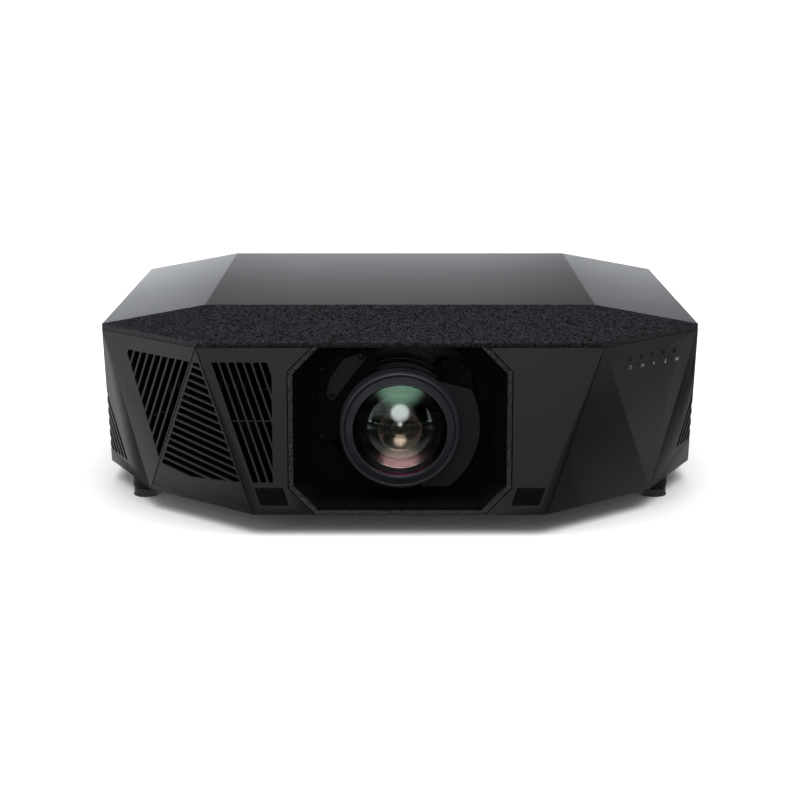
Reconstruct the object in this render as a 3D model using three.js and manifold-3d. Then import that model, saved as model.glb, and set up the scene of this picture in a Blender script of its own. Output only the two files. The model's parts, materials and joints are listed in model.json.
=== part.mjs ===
// Home projector: a flat faceted case with a deep octagonal lens window, slatted air
// grilles, a motor-shifted lens and the optics, fans and boards that work behind it.
// Millimetres. +Z is up, the lens looks along -Y, the origin is on the floor between the feet.

import * as THREE from 'three';
import * as BufferGeometryUtils from 'three/addons/utils/BufferGeometryUtils.js';
import Module from 'manifold-3d';

const wasm = await Module();
wasm.setup();

// ---- driving dimensions --------------------------------------------------------------------

// Case, seen from above: an octagon at the rim that flares to a twelve-sided bottom.
const rimWidth = 563;
const rimDepth = 498;
const rimCutX = 98; // how far each rim corner is cut off, across
const rimCutY = 85; // and front to back
const sideFlare = 11.5; // the sides lean out this much towards the bottom
const frontFlare = 10.8;
const bottomCutX = 159.6; // bottom corner: front edge ends here
const bottomCutY = 186.8; // and the side edge here
const bottomMidX = 54.1; // the corner's middle vertex, from the widest point
const bottomMidY = 83.3;
const footHeight = 20; // floor to case bottom
const panelHeight = 153.5; // case bottom to rim
const rimHeight = 5.5; // upright band round the top cover
const domeHeight = 18; // the top cover's slopes
const wall = 3;
const seam = 0.8; // open line between two panels
const fit = 0.3; // clearance between pieces that touch

// Lens window.
const windowWidth = 193.8;
const windowSideTop = 129.4; // the upright edge's ends, above the case bottom
const windowSideBottom = 26.5;
const windowBottom = 3.9;
const trimWidth = 4.2;
const trimDepth = 6;
const funnelBackPlane = 30; // behind the lens's front
const funnelBackWidth = 166.6;
const funnelBackSideTop = 117;
const funnelBackSideBottom = 21;
const funnelBackBottom = 8;
const funnelFrontBottom = 5.7;
const funnelWall = 2;
const funnelRoof = 1; // the roof's inner face, above the rim

// Lens.
const lensAxisHeight = 95.5;
const lensProud = 1; // the lens's front, ahead of the case's front edge at the rim
const barrelRadius = 48;
const barrelWall = 4;
const bezelRim = 7; // these rims stand out from the barrel
const grooveRim = 3;
const collarRim = 7.5;
const flangeRim = 10;
const bezelLength = 13.7;
const bezelShoulder = 5; // where the bezel starts to narrow, behind the lens's front
const bezelNeck = 1;
const bezelNeckInset = 1.5; // these insets are from the bezel's radius
const bezelRidgeInset = 3;
const bezelLipInset = 4.5;
const bezelLipDepth = 0.8;
const bezelConeDepth = 7.5;
const bezelConeRim = 1.6; // the cone's inner end, outside the glass's seat
const bezelSeatDepth = 8.4;
const grooveLength = 2;
const collarLength = 7;
const boreStep = 8; // the bore narrows this far ahead of the barrel's flange
const glassInset = 5.1; // the front glass's edge, inside the barrel's radius
const glassDepth = 8.6;
const glassBackGap = 0.5;
const glassBulge = 6;
const glassHollow = 1;
const rearGlassFront = 16; // these are ahead of the barrel's rear end
const rearGlassBack = 10;
const rearGlassFrontBulge = 3;
const rearGlassBackBulge = 2;
const rearTubeRadius = 34;
const rearTubeBore = 30;
const mountDepth = 111; // from the lens's front to the carriage that holds the barrel's flange
const rearTubeDepth = 145;
const flangeThickness = 4;
const shiftX = 7.5; // lens shift each way
const shiftZ = 8;
const plateThickness = 6;
const plateGap = 1;
const carriageMargin = 12; // the carriage runs past the barrel's flange
const verticalMargin = 14; // the one behind it past that
const frameMargin = 22;
const frameFootDepth = 18;
const frameFootHeight = 4;
const motorHousingRadius = 73.7;
const motorHousingLength = 14;
const motorHousingLow = -58.1; // from the lens axis
const motorHousingHigh = 40.7; // at the upper edge's outer end
const motorHousingHighX = 39.5;
const motorHousingSlope = 0.25;
const motorHousingLeft = 20;
const bracketThickness = 4;
const ringThickness = 5;
const ringLength = 16;
const focusRingDepth = 52;
const zoomRingDepth = 74;
const pinionRadius = 8;
const pinionShaftRadius = 1.5;
const focusPinionAngle = 50; // round the lens axis, up from the right
const zoomPinionAngle = 10;
const bayPlateDepth = 46;
const bayHoleRise = 15.5; // the hole's centre, above the lens axis
const bayHoleGap = 1.5; // left round the barrel at the end of its travel
const bayPlateMargin = 13; // the plate runs past the lens window

// Grilles.
const slatPitch = 7.04;
const slatSlot = 5.04;
const frontSlatCount = 7;
const frontSlatStart = 9.2;
const frontGrilleTop = 13.7;
const frontGrilleBottom = 30.1;
const frontGrilleInner = 115.5;
const ribHeight = 85.9; // the thin rib behind the front slots, above the case bottom
const ribWidth = 1.3;
const ribRecess = 1;
const cornerSlatPitch = 8.3;
const cornerSlot = 6;
const cornerSlatCount = 9;
const cornerSlatStart = 2;
const cornerGrilleTop = 15.1;
const cornerGrilleSide = 26.9;
const coverSlatPitch = 7.7;
const coverSlot = 5.4;
const coverSlatCount = 16;
const coverSlatStart = 34.75;
const coverSlatSlope = 10.8; // degrees, down towards the front
const coverGrilleTop = 15;
const coverGrilleMargin = 3.1;
const coverGrilleFoot = 18.1; // the lowest slots are clipped this far above the bottom corner
const coverGrilleRise = 0.099; // and the clipping line climbs by this share
const sideSlatPitch = 9.8;
const sideSlot = 6.5;
const sideSlatCount = 13;
const sideSlatStart = 52;
const leftSideGrilleBottom = 15.5;
const rightSideGrilleBottom = 29;
const sideGrilleTop = 25; // below the rim

// Remote-control receiver windows in the front panels.
const irStart = 9.1;
const irWidth = 23.9;
const irBottom = 9;
const irHeight = 16;
const irRecess = 0.4;
const irThickness = 2;

// Status lights.
const lightCount = 5;
const lightStart = 36.5; // along the rim from the front corner
const lightPitch = 15.4;
const lightDrop = 16.2; // below the rim
const lightWidth = 3.2;
const lightHeight = 3;
const lightBarHeight = 8;
const lightBarThickness = 3;

// Feet.
const footInsetX = 42; // from the widest point of the case
const footInsetY = 135.8;
const padRadius = 12.5;
const bossRadius = 12.7;
const padHeight = 8;
const footGroove = 1.4;
const stemRadius = 4;
const stemTop = 42;
const rearStudRadius = 5;
const stemSocket = 5; // how far the stem sits in its pad

// Back of the case.
const trayLeft = -112;
const trayRight = 62;
const trayBottom = 42;
const trayTop = 88;
const trayFloorInset = 24.3; // these insets are from the rearmost point of the case
const trayWall = 2.5;
const trayMouthInset = 6.3;
const inletX = 103;
const inletZ = 46;
const inletWidth = 30;
const inletHeight = 24;
const inletRecessWidth = 25.4;
const inletRecessHeight = 17.4;
const inletBackInset = 21.8;
const inletMouthInset = 3.8;
const keyRadius = 5;
const keyTravelGap = 0.8;
const keyClearance = 0.4;
const keyProud = 1.2;
const keyFlange = 1.5;
const keyFlangeThickness = 2;
const keyEdge = 0.5;
const padKeyX = 122;
const padKeyZ = 128;
const padKeyOuter = 11;
const padKeyInner = 6;
const keyX = 96;
const upperKeyZ = 140;
const lowerKeyZ = 116;
const powerKeyX = 148;
const boardHeight = 56;
const boardThickness = 1.6;
const boardDepth = 80;
const boardInset = 27.8;
const postRadius = 3.5;
const postInset = 8;
const boardMarginLeft = 6; // the board runs past the connector tray
const boardMarginRight = 8;
const socketDepth = 17;
const socketBackWall = 3;
const inletPinPitch = 7;
const inletPinLength = 12;
const powerSupplyWidth = 104;
const powerSupplyDepth = 160;
const powerSupplyHeight = 47;
const powerSupplyFront = -10;

// Fans.
const exhaustFanSize = 92;
const intakeFanSize = 80;
const fanThickness = 25;
const fanTipGap = 1.5;
const fanBoreInset = 2.5; // the bore's edge, inside the frame's
const fanSpoke = 3;
const fanRotorGap = 2; // rotor to the frame's front; the spokes are a millimetre behind it
const fanBladeThickness = 1.6;
const fanBladeShare = 0.92; // of the rotor's length
const fanAbove = 0.7;
const fanHubShare = 0.36;
const bladeCount = 7;
const bladePitch = 38;
const filterGap = 2;
const filterThickness = 12;
const filterInset = 9;
const intakeFanGap = 12.5;
const exhaustFanInset = 57; // from the widest point of the case

// Light engine.
const engineHalfWidth = 90;
const engineDepth = 152; // behind the lens's front
const engineLength = 158;
const engineTop = 128;
const engineWall = 4;
const prismSize = 36;
const prismMargin = 4; // the pedestal runs past the prism
const lightPathInset = 2;
const wheelX = 55;
const wheelHeight = 75;
const wheelRadius = 32;
const wheelThickness = 2;
const wheelHubRadius = 8;
const wheelHubLength = 8;
const wheelBracketGap = 10; // behind the light engine
const wheelBracketThickness = 4;
const wheelBracketHub = 6;
const wheelBracketMargin = 3;
const wheelBracketHead = 13;
const finCount = 10;
const finStart = 3;
const finThickness = 3;
const finReach = 18;
const laserWidth = 72;
const laserDepth = 66;
const laserHeight = 92;
const laserGap = 4; // behind the light engine
const heatSinkWidth = 85;
const heatSinkDepth = 120;
const heatSinkBase = 7;
const heatSinkFins = 70;
const heatSinkX = -235;
const heatSinkY = -50;

// ---- solids --------------------------------------------------------------------------------

// A closed three.js geometry, whatever its winding, as a solid.
function solidFrom(geometry) {
  const bare = geometry.clone();
  bare.deleteAttribute('normal');
  bare.deleteAttribute('uv');
  const merged = BufferGeometryUtils.mergeVertices(bare, 1e-4);
  const at = merged.attributes.position;
  const corners = [];
  let volume = 0;
  const [a, b, c] = [new THREE.Vector3(), new THREE.Vector3(), new THREE.Vector3()];
  for (let i = 0; i < merged.index.count; i += 3) {
    const [p, q, r] = [0, 1, 2].map((k) => merged.index.getX(i + k));
    if (p === q || q === r || r === p) continue;
    corners.push(p, q, r);
    a.fromBufferAttribute(at, p);
    b.fromBufferAttribute(at, q);
    c.fromBufferAttribute(at, r);
    volume += a.dot(b.cross(c));
  }
  if (volume < 0) {
    for (let i = 0; i < corners.length; i += 3) {
      [corners[i], corners[i + 1]] = [corners[i + 1], corners[i]];
    }
  }
  const vertProperties = new Float32Array(at.array);
  const triVerts = new Uint32Array(corners);
  return new wasm.Manifold(new wasm.Mesh({ numProp: 3, vertProperties, triVerts }));
}

function geometryFrom(solid) {
  const mesh = solid.getMesh();
  const geometry = new THREE.BufferGeometry();
  geometry.setAttribute('position', new THREE.BufferAttribute(mesh.vertProperties, 3));
  geometry.setIndex(new THREE.BufferAttribute(mesh.triVerts, 1));
  geometry.computeVertexNormals();
  return geometry;
}

const joined = (solids) => solids.reduce((sum, solid) => sum.add(solid));
const without = (solid, cutters) => cutters.reduce((rest, cutter) => rest.subtract(cutter), solid);

function block(x0, x1, y0, y1, z0, z1) {
  const geometry = new THREE.BoxGeometry(x1 - x0, y1 - y0, z1 - z0);
  return solidFrom(geometry.translate((x0 + x1) / 2, (y0 + y1) / 2, (z0 + z1) / 2));
}

// A ring or disc round the Y axis from a closed profile of [radius, y] points.
function turned(profile, segments = 36) {
  const points = [...profile, profile[0]].map(([r, y]) => new THREE.Vector2(r, y));
  return solidFrom(new THREE.LatheGeometry(points, segments));
}

const round = (radius, y0, y1, segments = 36) =>
  turned([[0, y0], [radius, y0], [radius, y1], [0, y1]], segments);

function upright(radius, x, y, z0, z1, segments = 24) {
  const geometry = new THREE.CylinderGeometry(radius, radius, z1 - z0, segments);
  geometry.rotateX(Math.PI / 2);
  return solidFrom(geometry.translate(x, y, (z0 + z1) / 2));
}

// A flat outline of [x, z] points, given depth from y0 to y1.
function plate(outline, y0, y1) {
  const shape = new THREE.Shape(outline.map(([x, z]) => new THREE.Vector2(x, z)));
  const geometry = new THREE.ExtrudeGeometry(shape, { depth: y1 - y0, bevelEnabled: false });
  geometry.rotateX(Math.PI / 2);
  return solidFrom(geometry.translate(0, y1, 0));
}

// A tube-like solid between two outlines with the same number of points.
function lofted(first, last) {
  const count = first.length;
  const index = [];
  for (let i = 0; i < count; i += 1) {
    const j = (i + 1) % count;
    index.push(i, j, count + j, i, count + j, count + i);
    if (i > 0 && i < count - 1) index.push(0, j, i, count, count + i, count + j);
  }
  const geometry = new THREE.BufferGeometry().setFromPoints([...first, ...last]);
  geometry.setIndex(index);
  return solidFrom(geometry);
}

// A half-space holds the points p with normal . p <= reach.
const halfSpace = (normal, reach) => ({ normal, reach });
const flipped = ({ normal, reach }) => halfSpace(normal.clone().negate(), -reach);
const moved = ({ normal, reach }, by) => halfSpace(normal, reach + by);
const along = (x, y, z, reach) => halfSpace(new THREE.Vector3(x, y, z), reach);

function crossing(a, b, c) {
  const bc = b.normal.clone().cross(c.normal);
  const turn = a.normal.dot(bc);
  if (Math.abs(turn) < 1e-7) return null;
  const point = bc.multiplyScalar(a.reach);
  point.addScaledVector(c.normal.clone().cross(a.normal), b.reach);
  point.addScaledVector(a.normal.clone().cross(b.normal), c.reach);
  return point.divideScalar(turn);
}

// The convex solid that a list of half-spaces encloses.
function enclosed(halfSpaces) {
  const near = 2e-5;
  const corners = [];
  halfSpaces.forEach((a, i) => {
    halfSpaces.slice(i + 1).forEach((b, j) => {
      halfSpaces.slice(i + j + 2).forEach((c) => {
        const point = crossing(a, b, c);
        if (!point || halfSpaces.some((h) => h.normal.dot(point) > h.reach + near)) return;
        if (corners.every((corner) => corner.distanceTo(point) > 5 * near)) corners.push(point);
      });
    });
  });
  const middle = new THREE.Vector3();
  corners.forEach((corner) => middle.addScaledVector(corner, 1 / corners.length));
  const index = [];
  halfSpaces.forEach(({ normal, reach }) => {
    const onFace = corners.map((_, i) => i);
    const face = onFace.filter((i) => Math.abs(normal.dot(corners[i]) - reach) < 5 * near);
    if (face.length < 3) return;
    const centre = new THREE.Vector3();
    face.forEach((i) => centre.addScaledVector(corners[i], 1 / face.length));
    const right = corners[face[0]].clone().sub(centre).normalize();
    const up = normal.clone().cross(right);
    const angle = (i) => {
      const arm = corners[i].clone().sub(centre);
      return Math.atan2(arm.dot(up), arm.dot(right));
    };
    face.sort((i, j) => angle(i) - angle(j));
    for (let k = 1; k < face.length - 1; k += 1) index.push(face[0], face[k], face[k + 1]);
  });
  const geometry = new THREE.BufferGeometry().setFromPoints(corners);
  geometry.setIndex(index);
  return solidFrom(geometry);
}

// ---- the case's facets ---------------------------------------------------------------------

const rimLevel = footHeight + panelHeight;
const halfRimWidth = rimWidth / 2;
const halfRimDepth = rimDepth / 2;
const halfWidth = halfRimWidth + sideFlare;
const halfDepth = halfRimDepth + frontFlare;
const topLevel = rimLevel + rimHeight + domeHeight;
const lensFront = -(halfRimDepth + lensProud);
const bayPlateFront = lensFront + bayPlateDepth;
const bayHoleRadius = barrelRadius + bayHoleRise + shiftZ + bayHoleGap;
const barrelBore = barrelRadius - barrelWall;
const bezelRadius = barrelRadius + bezelRim;
const grooveRadius = barrelRadius + grooveRim;
const collarRadius = barrelRadius + collarRim;
const flangeRadius = barrelRadius + flangeRim;
const glassRadius = barrelRadius - glassInset;
const mountPlane = lensFront + mountDepth;
const rearTubeEnd = lensFront + rearTubeDepth;
const engineFront = lensFront + engineDepth;
const engineBack = engineFront + engineLength;
const footX = halfWidth - footInsetX;
const footY = halfDepth - footInsetY;
const trayFloor = halfDepth - trayFloorInset;
const trayMouth = halfDepth - trayMouthInset;
const inletBack = halfDepth - inletBackInset;
const inletMouth = halfDepth - inletMouthInset;
const boardBack = halfDepth - boardInset;
const boardFront = boardBack - boardDepth;
const exhaustFanX = halfWidth - exhaustFanInset;
const floorTop = footHeight + wall;

// The corner vertices of one quarter of the case; sx and sy are -1 or 1.
function quarter(sx, sy) {
  const at = (x, y, z) => new THREE.Vector3(sx * x, sy * y, z);
  return {
    rimFront: at(halfRimWidth - rimCutX, halfRimDepth, rimLevel),
    rimSide: at(halfRimWidth, halfRimDepth - rimCutY, rimLevel),
    lowFront: at(halfWidth - bottomCutX, halfDepth, footHeight),
    lowMid: at(halfWidth - bottomMidX, halfDepth - bottomMidY, footHeight),
    lowSide: at(halfWidth, halfDepth - bottomCutY, footHeight),
  };
}

const caseMiddle = new THREE.Vector3(0, 0, footHeight + panelHeight / 2);

function facetThrough(a, b, c, inside = caseMiddle) {
  const normal = b.clone().sub(a).cross(c.clone().sub(a)).normalize();
  if (normal.dot(inside) > normal.dot(a)) normal.negate();
  return halfSpace(normal, normal.dot(a));
}

const quarters = {
  frontLeft: quarter(-1, -1),
  frontRight: quarter(1, -1),
  rearLeft: quarter(-1, 1),
  rearRight: quarter(1, 1),
};

const facets = {
  front: facetThrough(
    quarters.frontLeft.rimFront, quarters.frontRight.rimFront, quarters.frontLeft.lowFront),
  rear: facetThrough(
    quarters.rearLeft.rimFront, quarters.rearRight.rimFront, quarters.rearLeft.lowFront),
  left: facetThrough(
    quarters.frontLeft.rimSide, quarters.rearLeft.rimSide, quarters.frontLeft.lowSide),
  right: facetThrough(
    quarters.frontRight.rimSide, quarters.rearRight.rimSide, quarters.frontRight.lowSide),
  bottom: along(0, 0, -1, -footHeight),
};

for (const [name, q] of Object.entries(quarters)) {
  facets[`${name}Nose`] = facetThrough(q.rimFront, q.lowFront, q.lowMid);
  facets[`${name}Cheek`] = facetThrough(q.rimFront, q.rimSide, q.lowMid);
  facets[`${name}Hip`] = facetThrough(q.rimSide, q.lowMid, q.lowSide);
}

const rim = along(0, 0, 1, rimLevel);

// One facet's share of the shell, mitred against its neighbours. Facets of the same moulding
// run into each other; others leave a seam.
function facetWall(name, together = [name], thickness = wall) {
  const own = facets[name];
  const bounds = [own, flipped(moved(own, -thickness)), moved(rim, -fit)];
  for (const [otherName, other] of Object.entries(facets)) {
    if (otherName === name) continue;
    const normal = other.normal.clone().sub(own.normal);
    const size = normal.length();
    const back = together.includes(otherName) ? -fit : seam / 2;
    bounds.push(other, halfSpace(normal.divideScalar(size), (other.reach - own.reach) / size - back));
  }
  return enclosed(bounds);
}

const moulding = (names) => joined(names.map((name) => facetWall(name, names)));

// A half-space that stands square on a facet and stops a given distance short of the edge
// that the facet shares with another plane.
function edgeLine(facet, other, inset) {
  const dot = facet.normal.dot(other.normal);
  const outward = other.normal.clone().addScaledVector(facet.normal, -dot);
  const size = outward.length();
  const reach = (other.reach - dot * facet.reach) / size;
  return halfSpace(outward.divideScalar(size), reach - inset);
}

// The depth that a cut through a facet's wall needs.
const through = (facet) => [moved(facet, wall), flipped(moved(facet, -3 * wall))];

// Straight slots in a facet, side by side from a first line that others run parallel to.
function slots(facet, firstLine, { start, pitch, width, count }, bounds, depth = through(facet)) {
  return Array.from({ length: count }, (_, i) => {
    const near = start + i * pitch;
    const sides = [moved(firstLine, -near), flipped(moved(firstLine, -near - width))];
    return enclosed([...sides, ...bounds, ...depth]);
  });
}

// ---- the lens window -----------------------------------------------------------------------

const halfWindow = windowWidth / 2;

// Half-spaces of the window's outline, grown outwards, through the front.
function windowOutline(grow) {
  const side = halfWindow + grow;
  const slant = grow * Math.SQRT2;
  const upper = halfWindow + footHeight + windowSideTop + slant;
  const lower = halfWindow - footHeight - windowSideBottom + slant;
  return [
    along(1, 0, 0, side),
    along(-1, 0, 0, side),
    along(Math.SQRT1_2, 0, Math.SQRT1_2, upper * Math.SQRT1_2),
    along(-Math.SQRT1_2, 0, Math.SQRT1_2, upper * Math.SQRT1_2),
    along(Math.SQRT1_2, 0, -Math.SQRT1_2, lower * Math.SQRT1_2),
    along(-Math.SQRT1_2, 0, -Math.SQRT1_2, lower * Math.SQRT1_2),
    along(0, 0, -1, -(footHeight + windowBottom - grow)),
    along(0, 0, 1, topLevel),
    along(0, -1, 0, halfDepth + wall),
    along(0, 1, 0, -halfRimDepth / 2),
  ];
}

const windowHole = (grow) => enclosed(windowOutline(grow));

const frontSurface = (z) => -(halfRimDepth + ((rimLevel - z) * frontFlare) / panelHeight);
const rearSurface = (z) => -frontSurface(z);
const frontLean = Math.atan(frontFlare / panelHeight);

// The recess at a share of the way from its front (0) to its back (1), grown outwards.
function funnelRing(share, grow) {
  const mix = (front, back) => THREE.MathUtils.lerp(front, back, share);
  const x = mix(halfWindow, funnelBackWidth / 2) + grow;
  const corner = grow * (Math.SQRT2 - 1);
  const sideTop = footHeight + mix(windowSideTop, funnelBackSideTop) + corner;
  const sideBottom = footHeight + mix(windowSideBottom, funnelBackSideBottom) - corner;
  const top = rimLevel + funnelRoof + grow;
  const bottom = footHeight + mix(funnelFrontBottom, funnelBackBottom) - grow;
  const topX = x - (top - sideTop);
  const bottomX = x - (sideBottom - bottom);
  const back = lensFront + funnelBackPlane;
  const outline = [
    [x, sideBottom], [x, sideTop], [topX, top], [-topX, top],
    [-x, sideTop], [-x, sideBottom], [-bottomX, bottom], [bottomX, bottom],
  ];
  const depth = (z) => mix(frontSurface(z) + trimDepth + fit, back);
  return outline.map(([px, pz]) => new THREE.Vector3(px, depth(pz), pz));
}

// ---- scene graph ---------------------------------------------------------------------------

const projector = new THREE.Group();

const finish = (color, roughness, metalness = 0) => ({ color, roughness, metalness });
const coat = finish(0x2c2d31, 0.55);
const coarseCoat = finish(0x3a3c42, 0.7);
const blackPlastic = finish(0x0c0d0f, 0.6);
const satinMetal = finish(0x1d1f24, 0.35, 0.6);
const bareMetal = finish(0x9a9ca0, 0.4, 0.9);
const darkGloss = finish(0x060607, 0.1);
const glass = finish(0x20302c, 0.02, 0.1);
const rubber = finish(0x101010, 0.9);
const circuit = finish(0x12402a, 0.5);
const filterFoam = finish(0x5a5d60, 0.95);

function part(name, solid, look, parent = projector) {
  const material = new THREE.MeshStandardMaterial(look);
  const mesh = new THREE.Mesh(geometryFrom(solid), material);
  mesh.name = name;
  parent.add(mesh);
  return mesh;
}

// ---- case ----------------------------------------------------------------------------------

const bossTop = footHeight + wall / 2;
const bossBottom = padHeight + footGroove;
const boardUnderside = boardHeight - fit;
const boardLeft = trayLeft - boardMarginLeft;
const boardRight = trayRight + boardMarginRight;

function bottomCase() {
  const bosses = [];
  const holes = [];
  for (const sx of [-1, 1]) {
    for (const sy of [-1, 1]) {
      const studRadius = sy < 0 ? stemRadius : rearStudRadius;
      bosses.push(upright(bossRadius, sx * footX, sy * footY, bossBottom, bossTop));
      holes.push(upright(studRadius + fit, sx * footX, sy * footY, 0, floorTop + wall));
    }
  }
  const posts = [];
  for (const x of [boardLeft + postInset, boardRight - postInset]) {
    for (const y of [boardFront + postInset, boardBack - postInset]) {
      posts.push(upright(postRadius, x, y, bossTop, boardUnderside, 12));
    }
  }
  return without(joined([facetWall('bottom'), ...bosses, ...posts]), holes);
}

// The top cover's outside, moved in by an amount, with its own bottom level.
function coverSolid(inset, bottom) {
  const bandTop = rimLevel + rimHeight;
  const inside = new THREE.Vector3(0, 0, rimLevel);
  const bounds = [along(0, 0, 1, topLevel - inset), along(0, 0, -1, -bottom)];
  const axes = [[0, 1, halfRimDepth], [1, 0, halfRimWidth]];
  for (const sign of [-1, 1]) {
    axes.forEach(([x, y, reach]) => bounds.push(along(sign * x, sign * y, 0, reach - inset)));
  }
  for (const sx of [-1, 1]) {
    for (const sy of [-1, 1]) {
      const at = (x, y, z) => new THREE.Vector3(sx * x, sy * y, z);
      const frontCorner = at(halfRimWidth - rimCutX, halfRimDepth, bandTop);
      const sideCorner = at(halfRimWidth, halfRimDepth - rimCutY, bandTop);
      const topCorner = at(halfRimWidth - rimCutX, halfRimDepth - rimCutY, topLevel);
      const below = sideCorner.clone().setZ(0);
      const mirrored = (v) => new THREE.Vector3(-v.x, v.y, v.z);
      const behind = (v) => new THREE.Vector3(v.x, -v.y, v.z);
      const faces = [
        facetThrough(frontCorner, sideCorner, topCorner, inside),
        facetThrough(frontCorner, sideCorner, below, inside),
      ];
      if (sx > 0) faces.push(facetThrough(frontCorner, mirrored(frontCorner), topCorner, inside));
      if (sy > 0) faces.push(facetThrough(sideCorner, behind(sideCorner), topCorner, inside));
      faces.forEach((face) => bounds.push(moved(face, -inset)));
    }
  }
  return enclosed(bounds);
}

function frontGrille() {
  const facet = facets.front;
  const row = {
    start: frontSlatStart, pitch: slatPitch, width: slatSlot, count: frontSlatCount,
  };
  const cuts = slots(facet, edgeLine(facet, facets.frontLeftNose, 0), row, [
    edgeLine(facet, rim, frontGrilleTop),
    edgeLine(facet, facets.bottom, frontGrilleBottom),
    along(1, 0, 0, -frontGrilleInner),
  ]);
  const rib = enclosed([
    edgeLine(facet, facets.bottom, ribHeight),
    flipped(edgeLine(facet, facets.bottom, ribHeight + ribWidth)),
    moved(facet, -ribRecess),
    flipped(moved(facet, -wall)),
    edgeLine(facet, facets.frontLeftNose, frontSlatStart - 1),
    along(1, 0, 0, -frontGrilleInner + 1),
  ]);
  return cuts.map((cut) => cut.subtract(rib));
}

// A receiver window's outline in a front panel, grown outwards.
function irOutline(nose, grow) {
  const facet = facets.front;
  return [
    edgeLine(facet, nose, irStart - grow),
    flipped(edgeLine(facet, nose, irStart + irWidth + grow)),
    edgeLine(facet, facets.bottom, irBottom - grow),
    flipped(edgeLine(facet, facets.bottom, irBottom + irHeight + grow)),
  ];
}

const irHole = (nose) => enclosed([...irOutline(nose, fit), ...through(facets.front)]);

function irWindow(nose) {
  const face = moved(facets.front, -irRecess);
  return enclosed([...irOutline(nose, 0), face, flipped(moved(face, -irThickness))]);
}

function frontPanel(side, nose, cuts) {
  const half = block(...(side < 0 ? [-halfWidth, 0] : [0, halfWidth]),
    -halfDepth - wall, 0, 0, topLevel);
  const panel = facetWall('front').intersect(half);
  return without(panel, [windowHole(trimWidth + seam), irHole(nose), ...cuts]);
}

function filterCoverGrille() {
  const facet = facets.frontLeftNose;
  const { lowMid, lowFront } = quarters.frontLeft;
  const level = lowFront.clone().sub(lowMid).normalize();
  const up = facet.normal.clone().cross(level);
  if (up.z < 0) up.negate();
  const slope = THREE.MathUtils.degToRad(coverSlatSlope);
  const across = level.clone().multiplyScalar(-Math.sin(slope)).addScaledVector(up, -Math.cos(slope));
  const firstLine = halfSpace(across, across.dot(lowMid));
  const row = {
    start: coverSlatStart, pitch: coverSlatPitch, width: coverSlot, count: coverSlatCount,
  };
  const foot = lowMid.clone().addScaledVector(up, coverGrilleFoot);
  const rise = up.clone().multiplyScalar(-1).addScaledVector(level, coverGrilleRise).normalize();
  return slots(facet, firstLine, row, [
    edgeLine(facet, rim, coverGrilleTop),
    edgeLine(facet, facets.frontLeftCheek, coverGrilleMargin),
    edgeLine(facet, facets.front, coverGrilleMargin),
    halfSpace(rise, rise.dot(foot)),
  ]);
}

function cheekGrille() {
  const facet = facets.frontLeftCheek;
  const row = {
    start: cornerSlatStart, pitch: cornerSlatPitch, width: cornerSlot, count: cornerSlatCount,
  };
  return slots(facet, edgeLine(facet, facets.frontLeftNose, 0), row, [
    edgeLine(facet, rim, cornerGrilleTop),
    edgeLine(facet, facets.frontLeftHip, cornerGrilleSide),
  ]);
}

// Slots that start on the hip facet and run over its edge on to the side of the case.
function sideGrille(hip, cheek, side, bottomInset) {
  const facet = facets[hip];
  const row = { start: sideSlatStart, pitch: sideSlatPitch, width: sideSlot, count: sideSlatCount };
  const bounds = [
    edgeLine(facet, facets.bottom, bottomInset),
    along(0, 0, 1, rimLevel - sideGrilleTop),
    along(side, 0, 0, halfWidth + wall),
    along(-side, 0, 0, -(halfRimWidth - rimCutX)),
  ];
  return slots(facet, edgeLine(facet, facets[cheek], 0), row, bounds, []);
}

// Along and up the right cheek, from the front rim corner.
function lightBox(from, to, low, high, outer, inner) {
  const facet = facets.frontRightCheek;
  const { rimFront, rimSide } = quarters.frontRight;
  const across = rimSide.clone().sub(rimFront).normalize();
  const up = facet.normal.clone().cross(across);
  if (up.z < 0) up.negate();
  const span = (axis, a, b) => [
    halfSpace(axis, axis.dot(rimFront) + b),
    halfSpace(axis.clone().negate(), -(axis.dot(rimFront) + a)),
  ];
  return enclosed([
    ...span(across, from, to),
    ...span(up, low, high),
    moved(facet, outer),
    flipped(moved(facet, inner)),
  ]);
}

function lightBoxes(grow, outer, inner) {
  return Array.from({ length: lightCount }, (_, i) => {
    const middle = lightStart + i * lightPitch;
    const x = lightWidth / 2 + grow;
    const z = lightHeight / 2 + grow;
    return lightBox(middle - x, middle + x, -lightDrop - z, -lightDrop + z, outer, inner);
  });
}

function statusLightBar() {
  const end = lightStart + (lightCount - 1) * lightPitch + lightWidth;
  const half = lightBarHeight / 2;
  const face = -wall - fit;
  const bar = lightBox(
    lightStart - lightWidth, end, -lightDrop - half, -lightDrop + half,
    face, face - lightBarThickness);
  return joined([bar, ...lightBoxes(0, -fit, face - 1)]);
}

part('bottom_case', bottomCase(), blackPlastic);
part('top_cover', coverSolid(0, rimLevel).subtract(coverSolid(wall, rimLevel - wall)), coat);
part('front_left_panel', frontPanel(-1, facets.frontLeftNose, frontGrille()), coat);
part('front_right_panel', frontPanel(1, facets.frontRightNose, []), coat);
part('left_ir_window', irWindow(facets.frontLeftNose), darkGloss);
part('right_ir_window', irWindow(facets.frontRightNose), darkGloss);
part('filter_cover', without(facetWall('frontLeftNose'), filterCoverGrille()), coat);
part('left_side_panel', without(
  moulding(['frontLeftCheek', 'frontLeftHip', 'left', 'rearLeftHip']),
  [...cheekGrille(), ...sideGrille('frontLeftHip', 'frontLeftCheek', -1, leftSideGrilleBottom)],
), coat);
part('right_side_panel', without(
  moulding(['frontRightHip', 'right', 'rearRightHip']),
  sideGrille('frontRightHip', 'frontRightCheek', 1, rightSideGrilleBottom),
), coat);
part('right_corner_panel', without(
  moulding(['frontRightCheek', 'frontRightNose']),
  lightBoxes(fit, wall, -2 * wall),
), coat);
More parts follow.
